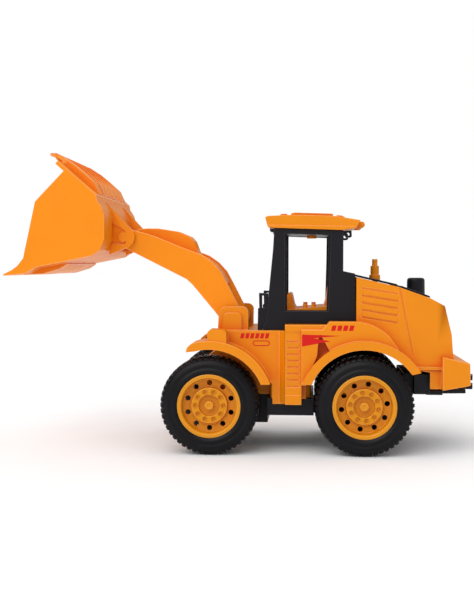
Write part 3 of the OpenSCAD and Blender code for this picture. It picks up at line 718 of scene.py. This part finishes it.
def close_between(bm, ends):
    """Two end faces of the same number of points and the walls between them."""
    bm.faces.new(ends[0])
    bm.faces.new(list(reversed(ends[1])))
    for i in range(len(ends[0])):
        j = (i + 1) % len(ends[0])
        bm.faces.new((ends[0][i], ends[1][i], ends[1][j], ends[0][j]))


def prism(bm, outline, low, high):
    """A closed prism between two Y planes, of an outline in X and Z."""
    close_between(bm, [[bm.verts.new(Vector((x, y, z)) * MM) for x, z in outline] for y in (low, high)])


def revolved(bm, profile, centre, turns=96, side=1):
    """A closed ring: profile points (radius, distance from the middle plane) turned about a wheel's axle."""
    rings = []
    for step in range(turns):
        angle = 2 * math.pi * step / turns
        rings.append(
            [
                bm.verts.new(
                    (
                        centre.x + r * MM * math.cos(angle),
                        side * y * MM,
                        centre.z + r * MM * math.sin(angle),
                    )
                )
                for r, y in profile
            ]
        )
    count = len(profile)
    for step in range(turns):
        a, b = rings[step], rings[(step + 1) % turns]
        for i in range(count):
            j = (i + 1) % count
            bm.faces.new((a[i], a[j], b[j], b[i]))


# ---- Geometry Nodes trees ----


def new_tree(name, inputs):
    """A geometry node group with its Geometry sockets and the named inputs."""
    tree = bpy.data.node_groups.new(name, "GeometryNodeTree")
    tree.interface.new_socket("Geometry", in_out="INPUT", socket_type="NodeSocketGeometry")
    tree.interface.new_socket("Geometry", in_out="OUTPUT", socket_type="NodeSocketGeometry")
    for label, kind in inputs.items():
        tree.interface.new_socket(label, in_out="INPUT", socket_type="NodeSocket" + kind)
    return tree, put(tree, "NodeGroupInput"), put(tree, "NodeGroupOutput")


def close_tree(tree, geometry, source, output):
    """Ends a tree in Realize Instances and Set Material."""
    real = put(tree, "GeometryNodeRealizeInstances", links={"Geometry": geometry})
    painted = put(
        tree,
        "GeometryNodeSetMaterial",
        links={"Geometry": real.outputs["Geometry"], "Material": source.outputs["Material"]},
    )
    tree.links.new(painted.outputs["Geometry"], output.inputs["Geometry"])


def ring_tree():
    """Repeats the piece's mesh, drawn about the origin, in a ring about the Y axis through Centre."""
    tree, source, output = new_tree(
        "Ring about an axle", {"Count": "Int", "Centre": "Vector", "Turn": "Float", "Material": "Material"}
    )
    points = put(
        tree,
        "GeometryNodePoints",
        links={"Count": source.outputs["Count"], "Position": source.outputs["Centre"]},
    )
    index = put(tree, "GeometryNodeInputIndex")
    step = put(tree, "ShaderNodeMath", {0: 2 * math.pi}, {1: source.outputs["Count"]}, operation="DIVIDE")
    angle = put(
        tree,
        "ShaderNodeMath",
        links={0: index.outputs["Index"], 1: step.outputs["Value"], 2: source.outputs["Turn"]},
        operation="MULTIPLY_ADD",
    )
    turn = put(
        tree,
        "FunctionNodeAxisAngleToRotation",
        {"Axis": (0, 1, 0)},
        {"Angle": angle.outputs["Value"]},
    )
    placed = put(
        tree,
        "GeometryNodeInstanceOnPoints",
        links={
            "Points": points.outputs["Points"],
            "Instance": source.outputs["Geometry"],
            "Rotation": turn.outputs["Rotation"],
        },
    )
    close_tree(tree, placed.outputs["Instances"], source, output)
    return tree


def row_tree():
    """Repeats the piece's mesh in a straight row, Step apart."""
    tree, source, output = new_tree("Row of slats", {"Count": "Int", "Step": "Vector", "Material": "Material"})
    index = put(tree, "GeometryNodeInputIndex")
    shift = put(
        tree,
        "ShaderNodeVectorMath",
        links={0: source.outputs["Step"], "Scale": index.outputs["Index"]},
        operation="SCALE",
    )
    points = put(
        tree,
        "GeometryNodePoints",
        links={"Count": source.outputs["Count"], "Position": shift.outputs["Vector"]},
    )
    placed = put(
        tree,
        "GeometryNodeInstanceOnPoints",
        links={"Points": points.outputs["Points"], "Instance": source.outputs["Geometry"]},
    )
    close_tree(tree, placed.outputs["Instances"], source, output)
    return tree


def places_tree():
    """Puts the Pattern object at each vertex of the piece, turned at random about Axis with a fixed seed."""
    tree, source, output = new_tree(
        "Screws at places", {"Pattern": "Object", "Axis": "Vector", "Seed": "Int", "Material": "Material"}
    )
    pattern = put(tree, "GeometryNodeObjectInfo", links={"Object": source.outputs["Pattern"]})
    chance = put(
        tree,
        "FunctionNodeRandomValue",
        {"Min": 0.0, "Max": math.pi},
        {"Seed": source.outputs["Seed"]},
        data_type="FLOAT",
    )
    angle = next(s for s in chance.outputs if s.enabled)
    turn = put(
        tree,
        "FunctionNodeAxisAngleToRotation",
        links={"Axis": source.outputs["Axis"], "Angle": angle},
    )
    points = put(tree, "GeometryNodeMeshToPoints", links={"Mesh": source.outputs["Geometry"]})
    placed = put(
        tree,
        "GeometryNodeInstanceOnPoints",
        links={
            "Points": points.outputs["Points"],
            "Instance": pattern.outputs["Geometry"],
            "Rotation": turn.outputs["Rotation"],
        },
    )
    close_tree(tree, placed.outputs["Instances"], source, output)
    return tree


TREES = {"ring": ring_tree, "row": row_tree, "places": places_tree}
made_trees = {}


def repeat(piece, kind, **inputs):
    """Runs a tree on the piece with its named inputs and leaves one plain mesh."""
    if kind not in made_trees:
        made_trees[kind] = TREES[kind]()
    tree = made_trees[kind]
    worker = piece.modifiers.new("Repeat", "NODES")
    worker.node_group = tree
    for item in tree.interface.items_tree:
        if item.in_out == "INPUT" and item.name in inputs:
            worker[item.identifier] = inputs[item.name]
    flatten_modifiers(piece)


# ---- tyres ----

# half outline of a tyre: distance from the axle, then distance from the loader's middle plane
TYRE_PROFILE = [
    (19.31, 28.0), (20.2, 27.5), (21.4, 27.15), (23.6, 27.0), (25.6, 27.3), (27.4, 28.1), (28.6, 29.4),
    (29.05, 31.0), (29.15, 32.4), (29.15, 46.8), (28.95, 48.2), (28.3, 49.5), (27.2, 50.5), (26.0, 51.1),
    (25.2, 51.42), (24.6, 51.5), (24.1, 51.35), (23.5, 51.1), (22.9, 51.15), (22.4, 51.6), (21.8, 51.97),
    (21.0, 51.95), (20.3, 51.55), (19.8, 51.1), (19.31, 50.9),
]  # fmt: skip
# outline of a lug in the same terms, from the shoulder on to the tread
LUG_PROFILE = [
    (28.0, 50.05), (28.9, 49.5), (29.6, 48.5), (29.95, 47.2), (29.95, 40.6), (28.9, 40.2),
    (28.9, 46.6), (28.6, 48.1), (27.9, 49.3),
]  # fmt: skip
# a lug leans back this much for each millimetre inwards of the shoulder
LUG_SKEW = 0.16
SHOULDER = 48
TYRE_MIDDLE = 39.5
TREAD_RADIUS = 29.9
# half the width of a lug at its top, and at its root below this radius
LUG_TOP, LUG_ROOT = 0.95, 1.3
LUG_TOP_FROM = 29
TYRE_TURNS = 128


def lug(bm, side, inner, pitch):
    """One lug about the origin. An inner one is reflected in the tyre's middle and half a pitch round."""
    shift = pitch / 2 if inner else 0
    rows = []
    for hand in (-1, 1):
        row = []
        for r, y in LUG_PROFILE:
            half = LUG_TOP if r > LUG_TOP_FROM else LUG_ROOT
            lean = LUG_SKEW * max(0, SHOULDER - y)
            angle = shift + (hand * half + lean) / TREAD_RADIUS
            across = 2 * TYRE_MIDDLE - y if inner else y
            row.append(
                bm.verts.new((r * MM * math.cos(angle), side * across * MM, r * MM * math.sin(angle)))
            )
        rows.append(row)
    close_between(bm, rows)


def tyre(node, side, turn):
    """A tyre with its moulded sidewall rings and two rows of tread lugs."""
    low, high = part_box(node)
    centre = (low + high) / 2
    count = sizes().lugs
    rubber = finish("tyre_rubber")
    casing = mesh_from(node, lambda bm: revolved(bm, TYRE_PROFILE, centre, TYRE_TURNS, side))
    casing.materials.append(rubber)
    carcass = new_piece(node + "_rubber", casing)
    pitch = 2 * math.pi / count

    def both_rows(bm):
        lug(bm, side, False, pitch)
        lug(bm, side, True, pitch)

    tread = new_piece(node + "_lugs", mesh_from(node + "_lugs", both_rows))
    repeat(tread, "ring", Count=count, Centre=(centre.x, 0, centre.z), Turn=turn, Material=rubber)
    for piece in (carcass, tread):
        soften(piece.data)
    hand_over(carcass, frame["nodes"][node]["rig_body"], "tyre_rubber", node)
    hand_over(tread, frame["nodes"][node]["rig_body"], "tyre_rubber")


class LoaderTyres(bpy.types.Operator):
    """Four soft tyres with sidewall rings and tread lugs"""

    bl_idname = "toy_loader.tyres"
    bl_label = "Tyres"

    def execute(self, context):
        tyre("front_tyre_left", 1, 0.0)
        tyre("front_tyre_right", -1, 0.0)
        tyre("rear_tyre_left", 1, sizes().rear_turn)
        tyre("rear_tyre_right", -1, sizes().rear_turn)
        return {"FINISHED"}


# half outline of the raised ring round a bolt dimple: distance from the bolt, then from the middle plane
NUT_PROFILE = [(1.35, 47.8), (1.9, 47.8), (1.88, 48.15), (1.75, 48.28), (1.5, 48.28), (1.37, 48.15)]
NUT_RING = 8.5
NUT_COUNT = 10
NUT_TURNS = 20


def wheel_nut(bm, side):
    """One raised bolt ring, drawn on the rim's bolt circle about the origin."""
    revolved(bm, NUT_PROFILE, Vector((NUT_RING * MM, 0, 0)), NUT_TURNS, side)


class LoaderRims(bpy.types.Operator):
    """Four rims with their holes and raised bolt rings"""

    bl_idname = "toy_loader.rims"
    bl_label = "Rims"

    def execute(self, context):
        for node, side, turn in (
            ("front_rim_left", 1, 0.0),
            ("front_rim_right", -1, 0.0),
            ("rear_rim_left", 1, -sizes().rear_turn),
            ("rear_rim_right", -1, -sizes().rear_turn),
        ):
            moulded_copy(node, sizes().small_edge, "rim_plastic")
            low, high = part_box(node)
            centre = (low + high) / 2
            nuts = new_piece(node + "_nuts", mesh_from(node + "_nuts", lambda bm: wheel_nut(bm, side)))
            hub = (centre.x, 0, centre.z)
            repeat(nuts, "ring", Count=NUT_COUNT, Centre=hub, Turn=turn, Material=finish("rim_plastic"))
            soften(nuts.data)
            hand_over(nuts, frame["nodes"][node]["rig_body"], "rim_plastic")
        return {"FINISHED"}


# ---- body ----

# a shutter blade in the hood's side, in X and Z: its ends, the height of its upper edge at the front end, its
# depth, its slope, how far its lower edge stands out, and the Y plane of the face that it sits on
LOUVRE = {"front": -72.7, "rear": -93.4, "top": 100.3, "deep": 3.0, "slope": 0.158, "out": 0.35, "face": 38.0}
LOUVRE_COUNT = 4
LOUVRE_STEP = (0.0, 0.0, -4.4)
# a tread of the cabinet's steps in the same terms; a negative out stands out at the upper edge
TREAD = {"front": -26.9, "rear": -34.3, "top": 44.75, "deep": 2.6, "slope": 0.0, "out": -0.4, "face": 44.0}
TREAD_COUNT = 7
TREAD_STEP = (0.0, 0.0, 3.9)
# how far a blade's flush edge stands out, its root reaches in, and its proud edge is rounded off
BLADE_FLUSH, BLADE_ROOT, BLADE_LIP = 0.06, -0.15, 0.25
BLADE_TIP_BACK = 0.05


def blade(bm, side, shape):
    """One wedge-shaped blade on a side face: flush along one long edge and proud along the other."""
    proud = abs(shape["out"])
    rows = []
    for x in (shape["front"], shape["rear"]):
        top = shape["top"] + (x - shape["front"]) * shape["slope"]
        low = top - shape["deep"]
        upper, lower = (BLADE_FLUSH, proud) if shape["out"] > 0 else (proud, BLADE_FLUSH)
        outline = [
            (top, BLADE_ROOT),
            (top, upper),
            (low + BLADE_LIP, lower),
            (low, lower - BLADE_TIP_BACK),
            (low, BLADE_ROOT),
        ]
        rows.append([bm.verts.new(Vector((x, side * (shape["face"] + y), z)) * MM) for z, y in outline])
    close_between(bm, rows)


def blades(name, side, shape, count, step):
    row = new_piece(name, mesh_from(name, lambda bm: blade(bm, side, shape)))
    repeat(row, "row", Count=count, Step=[MM * c for c in step], Material=finish("orange_plastic"))
    soften(row.data)
    hand_over(row, "chassis", "orange_plastic")


class LoaderBody(bpy.types.Operator):
    """Front and rear body shells with their hood louvres and cabinet treads"""

    bl_idname = "toy_loader.body"
    bl_label = "Body shells"

    def execute(self, context):
        moulded_copy("front_body", sizes().edge, "orange_plastic")
        moulded_copy("rear_body", sizes().edge, "orange_plastic")
        for side, hand in ((1, "left"), (-1, "right")):
            blades("hood_louvres_" + hand, side, LOUVRE, LOUVRE_COUNT, LOUVRE_STEP)
            blades("cabinet_treads_" + hand, side, TREAD, TREAD_COUNT, TREAD_STEP)
        return {"FINISHED"}


class LoaderHood(bpy.types.Operator):
    """Hood cover, exhaust and air cleaner"""

    bl_idname = "toy_loader.hood"
    bl_label = "Hood fittings"

    def execute(self, context):
        moulded_copy("hood_cover", sizes().small_edge, "black_plastic")
        moulded_copy("exhaust_stack", sizes().small_edge, "orange_plastic")
        moulded_copy("air_cleaner", sizes().small_edge, "black_plastic")
        return {"FINISHED"}


# inner frame of a side window, set back in its opening, in X and Z
WINDOW_OUTER = [(-25.3, 134.5), (-53.4, 133.5), (-53.1, 117.6), (-51.9, 86.8), (-25.4, 86.8)]
WINDOW_INNER = [(-26.2, 134.3), (-51.9, 133.3), (-51.7, 117.6), (-50.9, 87.3), (-26.2, 87.3)]
WINDOW_INSIDE, WINDOW_OUTSIDE = 31.1, 32.7


def framed(bm, outer, inner, low, high):
    """A ring between two outlines of the same number of points, in X and Z, solid between two Y planes."""
    loops = [
        [bm.verts.new(Vector((x, y, z)) * MM) for x, z in outline]
        for y in (low, high)
        for outline in (outer, inner)
    ]
    for a, b in ((0, 1), (1, 3), (3, 2), (2, 0)):
        for i in range(len(outer)):
            j = (i + 1) % len(outer)
            bm.faces.new((loops[a][i], loops[a][j], loops[b][j], loops[b][i]))


class LoaderCab(bpy.types.Operator):
    """Cab frame with its window frames, roof, interior and grab rails"""

    bl_idname = "toy_loader.cab"
    bl_label = "Cab"

    def execute(self, context):
        moulded_copy("cab_frame", sizes().edge, "black_plastic")
        moulded_copy("cab_roof", sizes().edge, "orange_plastic")
        moulded_copy("cab_interior", sizes().small_edge, "bright_orange_plastic")
        moulded_copy("grab_rails", sizes().small_edge, "black_plastic")
        for side, hand in ((1, "left"), (-1, "right")):
            name = "window_frame_" + hand
            planes = (side * WINDOW_INSIDE, side * WINDOW_OUTSIDE)
            shape = mesh_from(name, lambda bm: framed(bm, WINDOW_OUTER, WINDOW_INNER, *planes))
            shape.materials.append(finish("black_plastic"))
            hand_over(new_piece(name, shape), "chassis", "black_plastic")
        return {"FINISHED"}


class LoaderChassis(bpy.types.Operator):
    """Chassis tray, tow hitch and gearbox halves"""

    bl_idname = "toy_loader.chassis"
    bl_label = "Chassis"

    def execute(self, context):
        moulded_copy("chassis_tray", sizes().edge, "black_plastic")
        moulded_copy("tow_hitch", sizes().small_edge, "black_plastic")
        moulded_copy("gearbox_left", sizes().small_edge, "black_plastic")
        moulded_copy("gearbox_right", sizes().small_edge, "black_plastic")
        return {"FINISHED"}


class LoaderMotor(bpy.types.Operator):
    """Gears, shafts, flywheel, axles and pivot rod"""

    bl_idname = "toy_loader.motor"
    bl_label = "Friction motor and axles"

    def execute(self, context):
        for node in ("axle_gear", "idler_gear", "flywheel_pinion"):
            for slot in frame["nodes"][node].material_slots:
                slot.material = finish("natural_nylon")
        for node in ("flywheel", "idler_shaft", "flywheel_shaft", "arm_pivot_rod", "front_axle", "rear_axle"):
            moulded_copy(node, 2 * sizes().small_edge, "steel")
        return {"FINISHED"}


class LoaderArm(bpy.types.Operator):
    """Lifting arm with its crown"""

    bl_idname = "toy_loader.arm"
    bl_label = "Lifting arm"

    def execute(self, context):
        moulded_copy("lift_arm", sizes().edge, "bright_orange_plastic")
        return {"FINISHED"}


class LoaderBucket(bpy.types.Operator):
    """Bucket with its spill guard, ribs, wear plate and pins"""

    bl_idname = "toy_loader.bucket"
    bl_label = "Bucket"

    def execute(self, context):
        moulded_copy("bucket", sizes().edge, "bright_orange_plastic")
        moulded_copy("bucket_pin_left", sizes().small_edge, "bright_orange_plastic")
        moulded_copy("bucket_pin_right", sizes().small_edge, "bright_orange_plastic")
        return {"FINISHED"}


# ---- screws ----



def both_hands(*places):
    """Each place on the left side, and its mirror image on the right."""
    return [(x, hand * y, z) for x, y, z in places for hand in (1, -1)]


# screws of each kind: CAD node, head radius and height, shank radius, whole length, the way the head faces and
# the places of the head's face
SCREWS = {
    "tray_screws": (
        "chassis_screws", 2.38, 1.2, 1.19, 11.7, (0, 0, -1),
        both_hands((-19.2, 30, 23), (-38.4, 30, 23), (-117.4, 24, 35.2)),
    ),
    "cab_front_screws": ("cab_screws", 2.38, 1.2, 1.19, 10.1, (0, 0, -1), both_hands((-20, 23, 71.8))),
    "cab_rear_screws": ("cab_screws", 2.38, 1.2, 1.19, 7.1, (0, 0, -1), both_hands((-56, 26, 75.7))),
    "motor_screws": (
        "gearbox_screws", 1.78, 1.4, 0.99, 25.3, (0, -1, 0),
        [(x, -17.4, z) for x, z in ((-10.3, 19.4), (28.6, 19), (-7.6, 43), (26.4, 42.2))],
    ),
}  # fmt: skip
THREAD_PITCH = 0.9
# radius of the thread's root, as a share of its crest's
THREAD_ROOT = 0.8
# gap between the head and the thread's first turn
THREAD_START = 0.02
# length of a screw's point, and its end's radius as a share of the head's
POINT_LENGTH, POINT_SHARE = 1.2, 0.2
# shares of the head's radius: reach and half width of the cross, and the flat face
CROSS_REACH, CROSS_HALF, FACE_SHARE = 0.62, 0.13, 0.86
# shares of the head's height: depth of the cross, and where the head's dome ends
CROSS_DEPTH, DOME_END = 0.6, 0.3
HEAD_TURNS = 24


def screw_shape(bm, head_r, head_h, shank_r, length):
    """A pan-head screw about the Z axis: its face with a cross recess at the origin, its thread upwards."""
    turns = np.linspace(0, 2 * math.pi, HEAD_TURNS, endpoint=False)
    ring = [(head_r * math.cos(a), head_r * math.sin(a)) for a in turns]
    arm, slot = CROSS_REACH * head_r, CROSS_HALF * head_r
    corner = [(arm, slot), (slot, slot), (slot, arm)]
    quarters = ((1, 0), (0, 1), (-1, 0), (0, -1))
    cross = [(x * c - y * s, x * s + y * c) for c, s in quarters for x, y in corner]

    def loop(points, z):
        verts = [bm.verts.new(Vector((x, y, z)) * MM) for x, y in points]
        return verts, [bm.edges.new((verts[i - 1], verts[i])) for i in range(len(verts))]

    def wall(low, high):
        for i in range(len(low)):
            bm.faces.new((low[i - 1], low[i], high[i], high[i - 1]))

    face = [(FACE_SHARE * x, FACE_SHARE * y) for x, y in ring]
    face_verts, face_edges = loop(face, 0)
    cross_verts, cross_edges = loop(cross, 0)
    bmesh.ops.triangle_fill(bm, use_beauty=True, edges=face_edges + cross_edges)
    depth_verts, _ = loop(cross, CROSS_DEPTH * head_h)
    wall(cross_verts, depth_verts)
    bm.faces.new(depth_verts)
    rim, _ = loop(ring, DOME_END * head_h)
    wall(face_verts, rim)
    seat, _ = loop(ring, head_h)
    wall(rim, seat)
    last = seat
    steps = int((length - head_h - POINT_LENGTH) / THREAD_PITCH) * 2
    for step in range(steps + 1):
        share = (THREAD_ROOT if step % 2 else 1.0) * shank_r / head_r
        height = head_h + THREAD_START + step * THREAD_PITCH / 2
        level, _ = loop([(share * x, share * y) for x, y in ring], height)
        wall(last, level)
        last = level
    tip, _ = loop([(POINT_SHARE * x, POINT_SHARE * y) for x, y in ring], length)
    wall(last, tip)
    bm.faces.new(tip)


class LoaderScrews(bpy.types.Operator):
    """Self-tapping screws of the tray, the cab and the gearbox"""

    bl_idname = "toy_loader.screws"
    bl_label = "Screws"

    def execute(self, context):
        for name, (node, head_r, head_h, shank_r, length, faces, places) in SCREWS.items():
            shape = mesh_from(name, lambda bm: screw_shape(bm, head_r, head_h, shank_r, length))
            shape.transform(Vector((0, 0, -1)).rotation_difference(Vector(faces)).to_matrix().to_4x4())
            pattern = new_piece(name + "_pattern", shape)
            points = bpy.data.meshes.new(name)
            points.from_pydata([Vector(place) * MM for place in places], [], [])
            screws = new_piece(name, points)
            repeat(screws, "places", Pattern=pattern, Axis=faces, Seed=7, Material=finish("steel"))
            bpy.data.objects.remove(pattern)
            soften(screws.data)
            hand_over(screws, frame["nodes"][node]["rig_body"], "steel", node)
        return {"FINISHED"}


# ---- printed flashes ----

# red flash beside the step, in X and Z
FLASH = [(-36.0, 73.3), (-59.3, 72.6), (-42.9, 71.1), (-53.3, 69.3), (-36.0, 66.0)]
# rows of plain slanted dashes: left end, right end, foot, height, count
FRONT_DASHES = (-16.2, 2.0, 70.2, 3.2, 6)
REAR_DASHES = (-67.4, -53.2, 75.6, 3.2, 4)
# an empty pill-shaped badge: left end, right end, foot, height
BADGE = (-16.4, -5.8, 65.6, 3.4)
BADGE_LINE = 0.6
# Y planes of the printed faces, and how far a print reaches into its shell
PANEL_FACE, FENDER_FACE = 38.0, 46.0
PRINT_ROOT = 0.02
# a dash's width as a share of its pitch, and its lean as a share of its height
DASH_SHARE, DASH_LEAN = 0.72, 0.25


def dashes(left, right, foot, height, count):
    """Outlines of slanted dashes that fill a row."""
    pitch = (right - left) / count
    wide, lean, top = DASH_SHARE * pitch, DASH_LEAN * height, foot + height
    return [
        [(x, foot), (x + wide, foot), (x + wide - lean, top), (x - lean, top)]
        for x in (left + lean + i * pitch for i in range(count))
    ]


def pill(left, right, foot, height, inset):
    """Outline of a bar with round ends."""
    r = height / 2
    reach = r - inset
    ends = ((right - r, -90), (left + r, 90))
    turns = [(x, math.radians(start + t)) for x, start in ends for t in range(0, 181, 20)]
    return [(x + reach * math.cos(a), foot + r + reach * math.sin(a)) for x, a in turns]


class LoaderPrints(bpy.types.Operator):
    """Printed red flashes, dashes and badges on both sides"""

    bl_idname = "toy_loader.prints"
    bl_label = "Printed flashes"

    def execute(self, context):
        thick = sizes().print_thickness / MM
        for side, hand in ((1, "left"), (-1, "right")):
            fender, panel = [(side * (y - PRINT_ROOT), side * (y + thick)) for y in (FENDER_FACE, PANEL_FACE)]

            def build(bm):
                for outline in (FLASH, *dashes(*REAR_DASHES)):
                    prism(bm, outline, *fender)
                for outline in dashes(*FRONT_DASHES):
                    prism(bm, outline, *panel)
                framed(bm, pill(*BADGE, 0), pill(*BADGE, BADGE_LINE), *panel)

            shape = mesh_from("prints_" + hand, build)
            shape.materials.append(finish("printed_red"))
            hand_over(new_piece("prints_" + hand, shape), "chassis", "orange_plastic")
        return {"FINISHED"}


# ---- studio ----

CAMERA_PLACE = Vector((-0.0407, 0.648, 0.1145))
CAMERA_AIM = Vector((0.072696, -0.996593, -0.038970))
CAMERA_LENS = 59.02
# half the side of the floor, and the point that every lamp looks at, in metres
FLOOR_HALF = 12.0
LAMP_AIM = Vector((0, 0, 0.08))
# strength of the surround as the camera sees it, and as it lights the object
SURROUND_SEEN, SURROUND_LIT = 1.0, 0.65


def softbox(name, place, size, power):
    """A rectangular softbox aimed at the object, for the long highlights."""
    light = bpy.data.lights.new(name, "AREA")
    light.shape = "RECTANGLE"
    light.size, light.size_y = size
    light.energy = power
    hang(name, light, place)


def sky_light(name, place, spread, strength):
    """Even light from a wide part of the ceiling, the same all over the floor."""
    light = bpy.data.lights.new(name, "SUN")
    light.angle = spread
    light.energy = strength
    hang(name, light, place)


def hang(name, light, place):
    lamp = bpy.data.objects.new(name, light)
    lamp.location = place
    lamp.rotation_euler = (LAMP_AIM - Vector(place)).to_track_quat("-Z", "Y").to_euler()
    bpy.context.scene.collection.objects.link(lamp)


def surround():
    """A surround that looks white but lights the object more gently, so that black plastic stays black."""
    world = bpy.data.worlds.new("Soft white surround")
    world.use_nodes = True
    tree = world.node_tree
    tree.nodes.clear()
    seen = put(tree, "ShaderNodeBackground", {"Color": (1, 1, 1, 1), "Strength": SURROUND_SEEN})
    lit = put(tree, "ShaderNodeBackground", {"Color": (1, 1, 1, 1), "Strength": SURROUND_LIT})
    path = put(tree, "ShaderNodeLightPath")
    both = put(
        tree,
        "ShaderNodeMixShader",
        links={0: path.outputs["Is Camera Ray"], 1: lit.outputs["Background"], 2: seen.outputs["Background"]},
    )
    put(tree, "ShaderNodeOutputWorld", links={"Surface": both.outputs["Shader"]})
    return world


class LoaderStage(bpy.types.Operator):
    """Pale studio floor, soft lights and the camera"""

    bl_idname = "toy_loader.stage"
    bl_label = "Studio"

    def execute(self, context):
        scene = context.scene
        scene.view_settings.view_transform = "Standard"

        def sheet(bm):
            corners = ((-1, -1), (1, -1), (1, 1), (-1, 1))
            bm.faces.new([bm.verts.new((x * FLOOR_HALF, y * FLOOR_HALF, 0)) for x, y in corners])

        floor = new_piece("studio_floor", mesh_from("studio_floor", sheet, outward=False))
        floor.data.materials.append(finish("paper"))
        scene.world = surround()
        sky_light("Front ceiling light", (0.35, 0.6, 0.75), math.radians(60), sizes().front_light)
        sky_light("Overhead light", (-0.1, -0.15, 1.0), math.radians(100), sizes().top_light)
        softbox("Long softbox", (0.25, 0.55, 0.6), (0.7, 0.12), sizes().softbox)
        lens = bpy.data.cameras.new("Studio camera")
        lens.lens = CAMERA_LENS
        lens.sensor_width = 36
        lens.clip_start = 0.01
        lens.clip_end = 100
        camera = bpy.data.objects.new("Studio camera", lens)
        camera.location = CAMERA_PLACE
        camera.rotation_euler = CAMERA_AIM.to_track_quat("-Z", "Y").to_euler()
        scene.collection.objects.link(camera)
        scene.camera = camera
        return {"FINISHED"}


# ---- panel ----

PIECES = (
    LoaderStage, LoaderBody, LoaderHood, LoaderCab, LoaderChassis, LoaderMotor, LoaderRims, LoaderTyres,
    LoaderArm, LoaderBucket, LoaderScrews, LoaderPrints,
)  # fmt: skip


class LoaderPanel(bpy.types.Panel):
    """Sizes, colours and pieces of the toy loader"""

    bl_idname = "VIEW3D_PT_toy_loader"
    bl_label = "Toy loader"
    bl_space_type = "VIEW_3D"
    bl_region_type = "UI"
    bl_category = "Toy loader"

    def draw(self, context):
        column = self.layout.column()
        for group in (context.scene.loader_sizes, context.scene.loader_colours):
            for name in group.__annotations__:
                column.prop(group, name)
        for piece in PIECES:
            column.operator(piece.bl_idname)


CLASSES = (LoaderColours, LoaderSizes, *PIECES, LoaderPanel)


def register():
    for each in CLASSES:
        bpy.utils.register_class(each)
    bpy.types.Scene.loader_colours = bpy.props.PointerProperty(type=LoaderColours)
    bpy.types.Scene.loader_sizes = bpy.props.PointerProperty(type=LoaderSizes)


def unregister():
    del bpy.types.Scene.loader_sizes
    del bpy.types.Scene.loader_colours
    for each in reversed(CLASSES):
        bpy.utils.unregister_class(each)


def main():
    register()
    for piece in PIECES:
        group, name = piece.bl_idname.split(".")
        if getattr(getattr(bpy.ops, group), name)() != {"FINISHED"}:
            raise RuntimeError(piece.bl_label + " wasn't made")


if __name__ == "__main__":
    main()
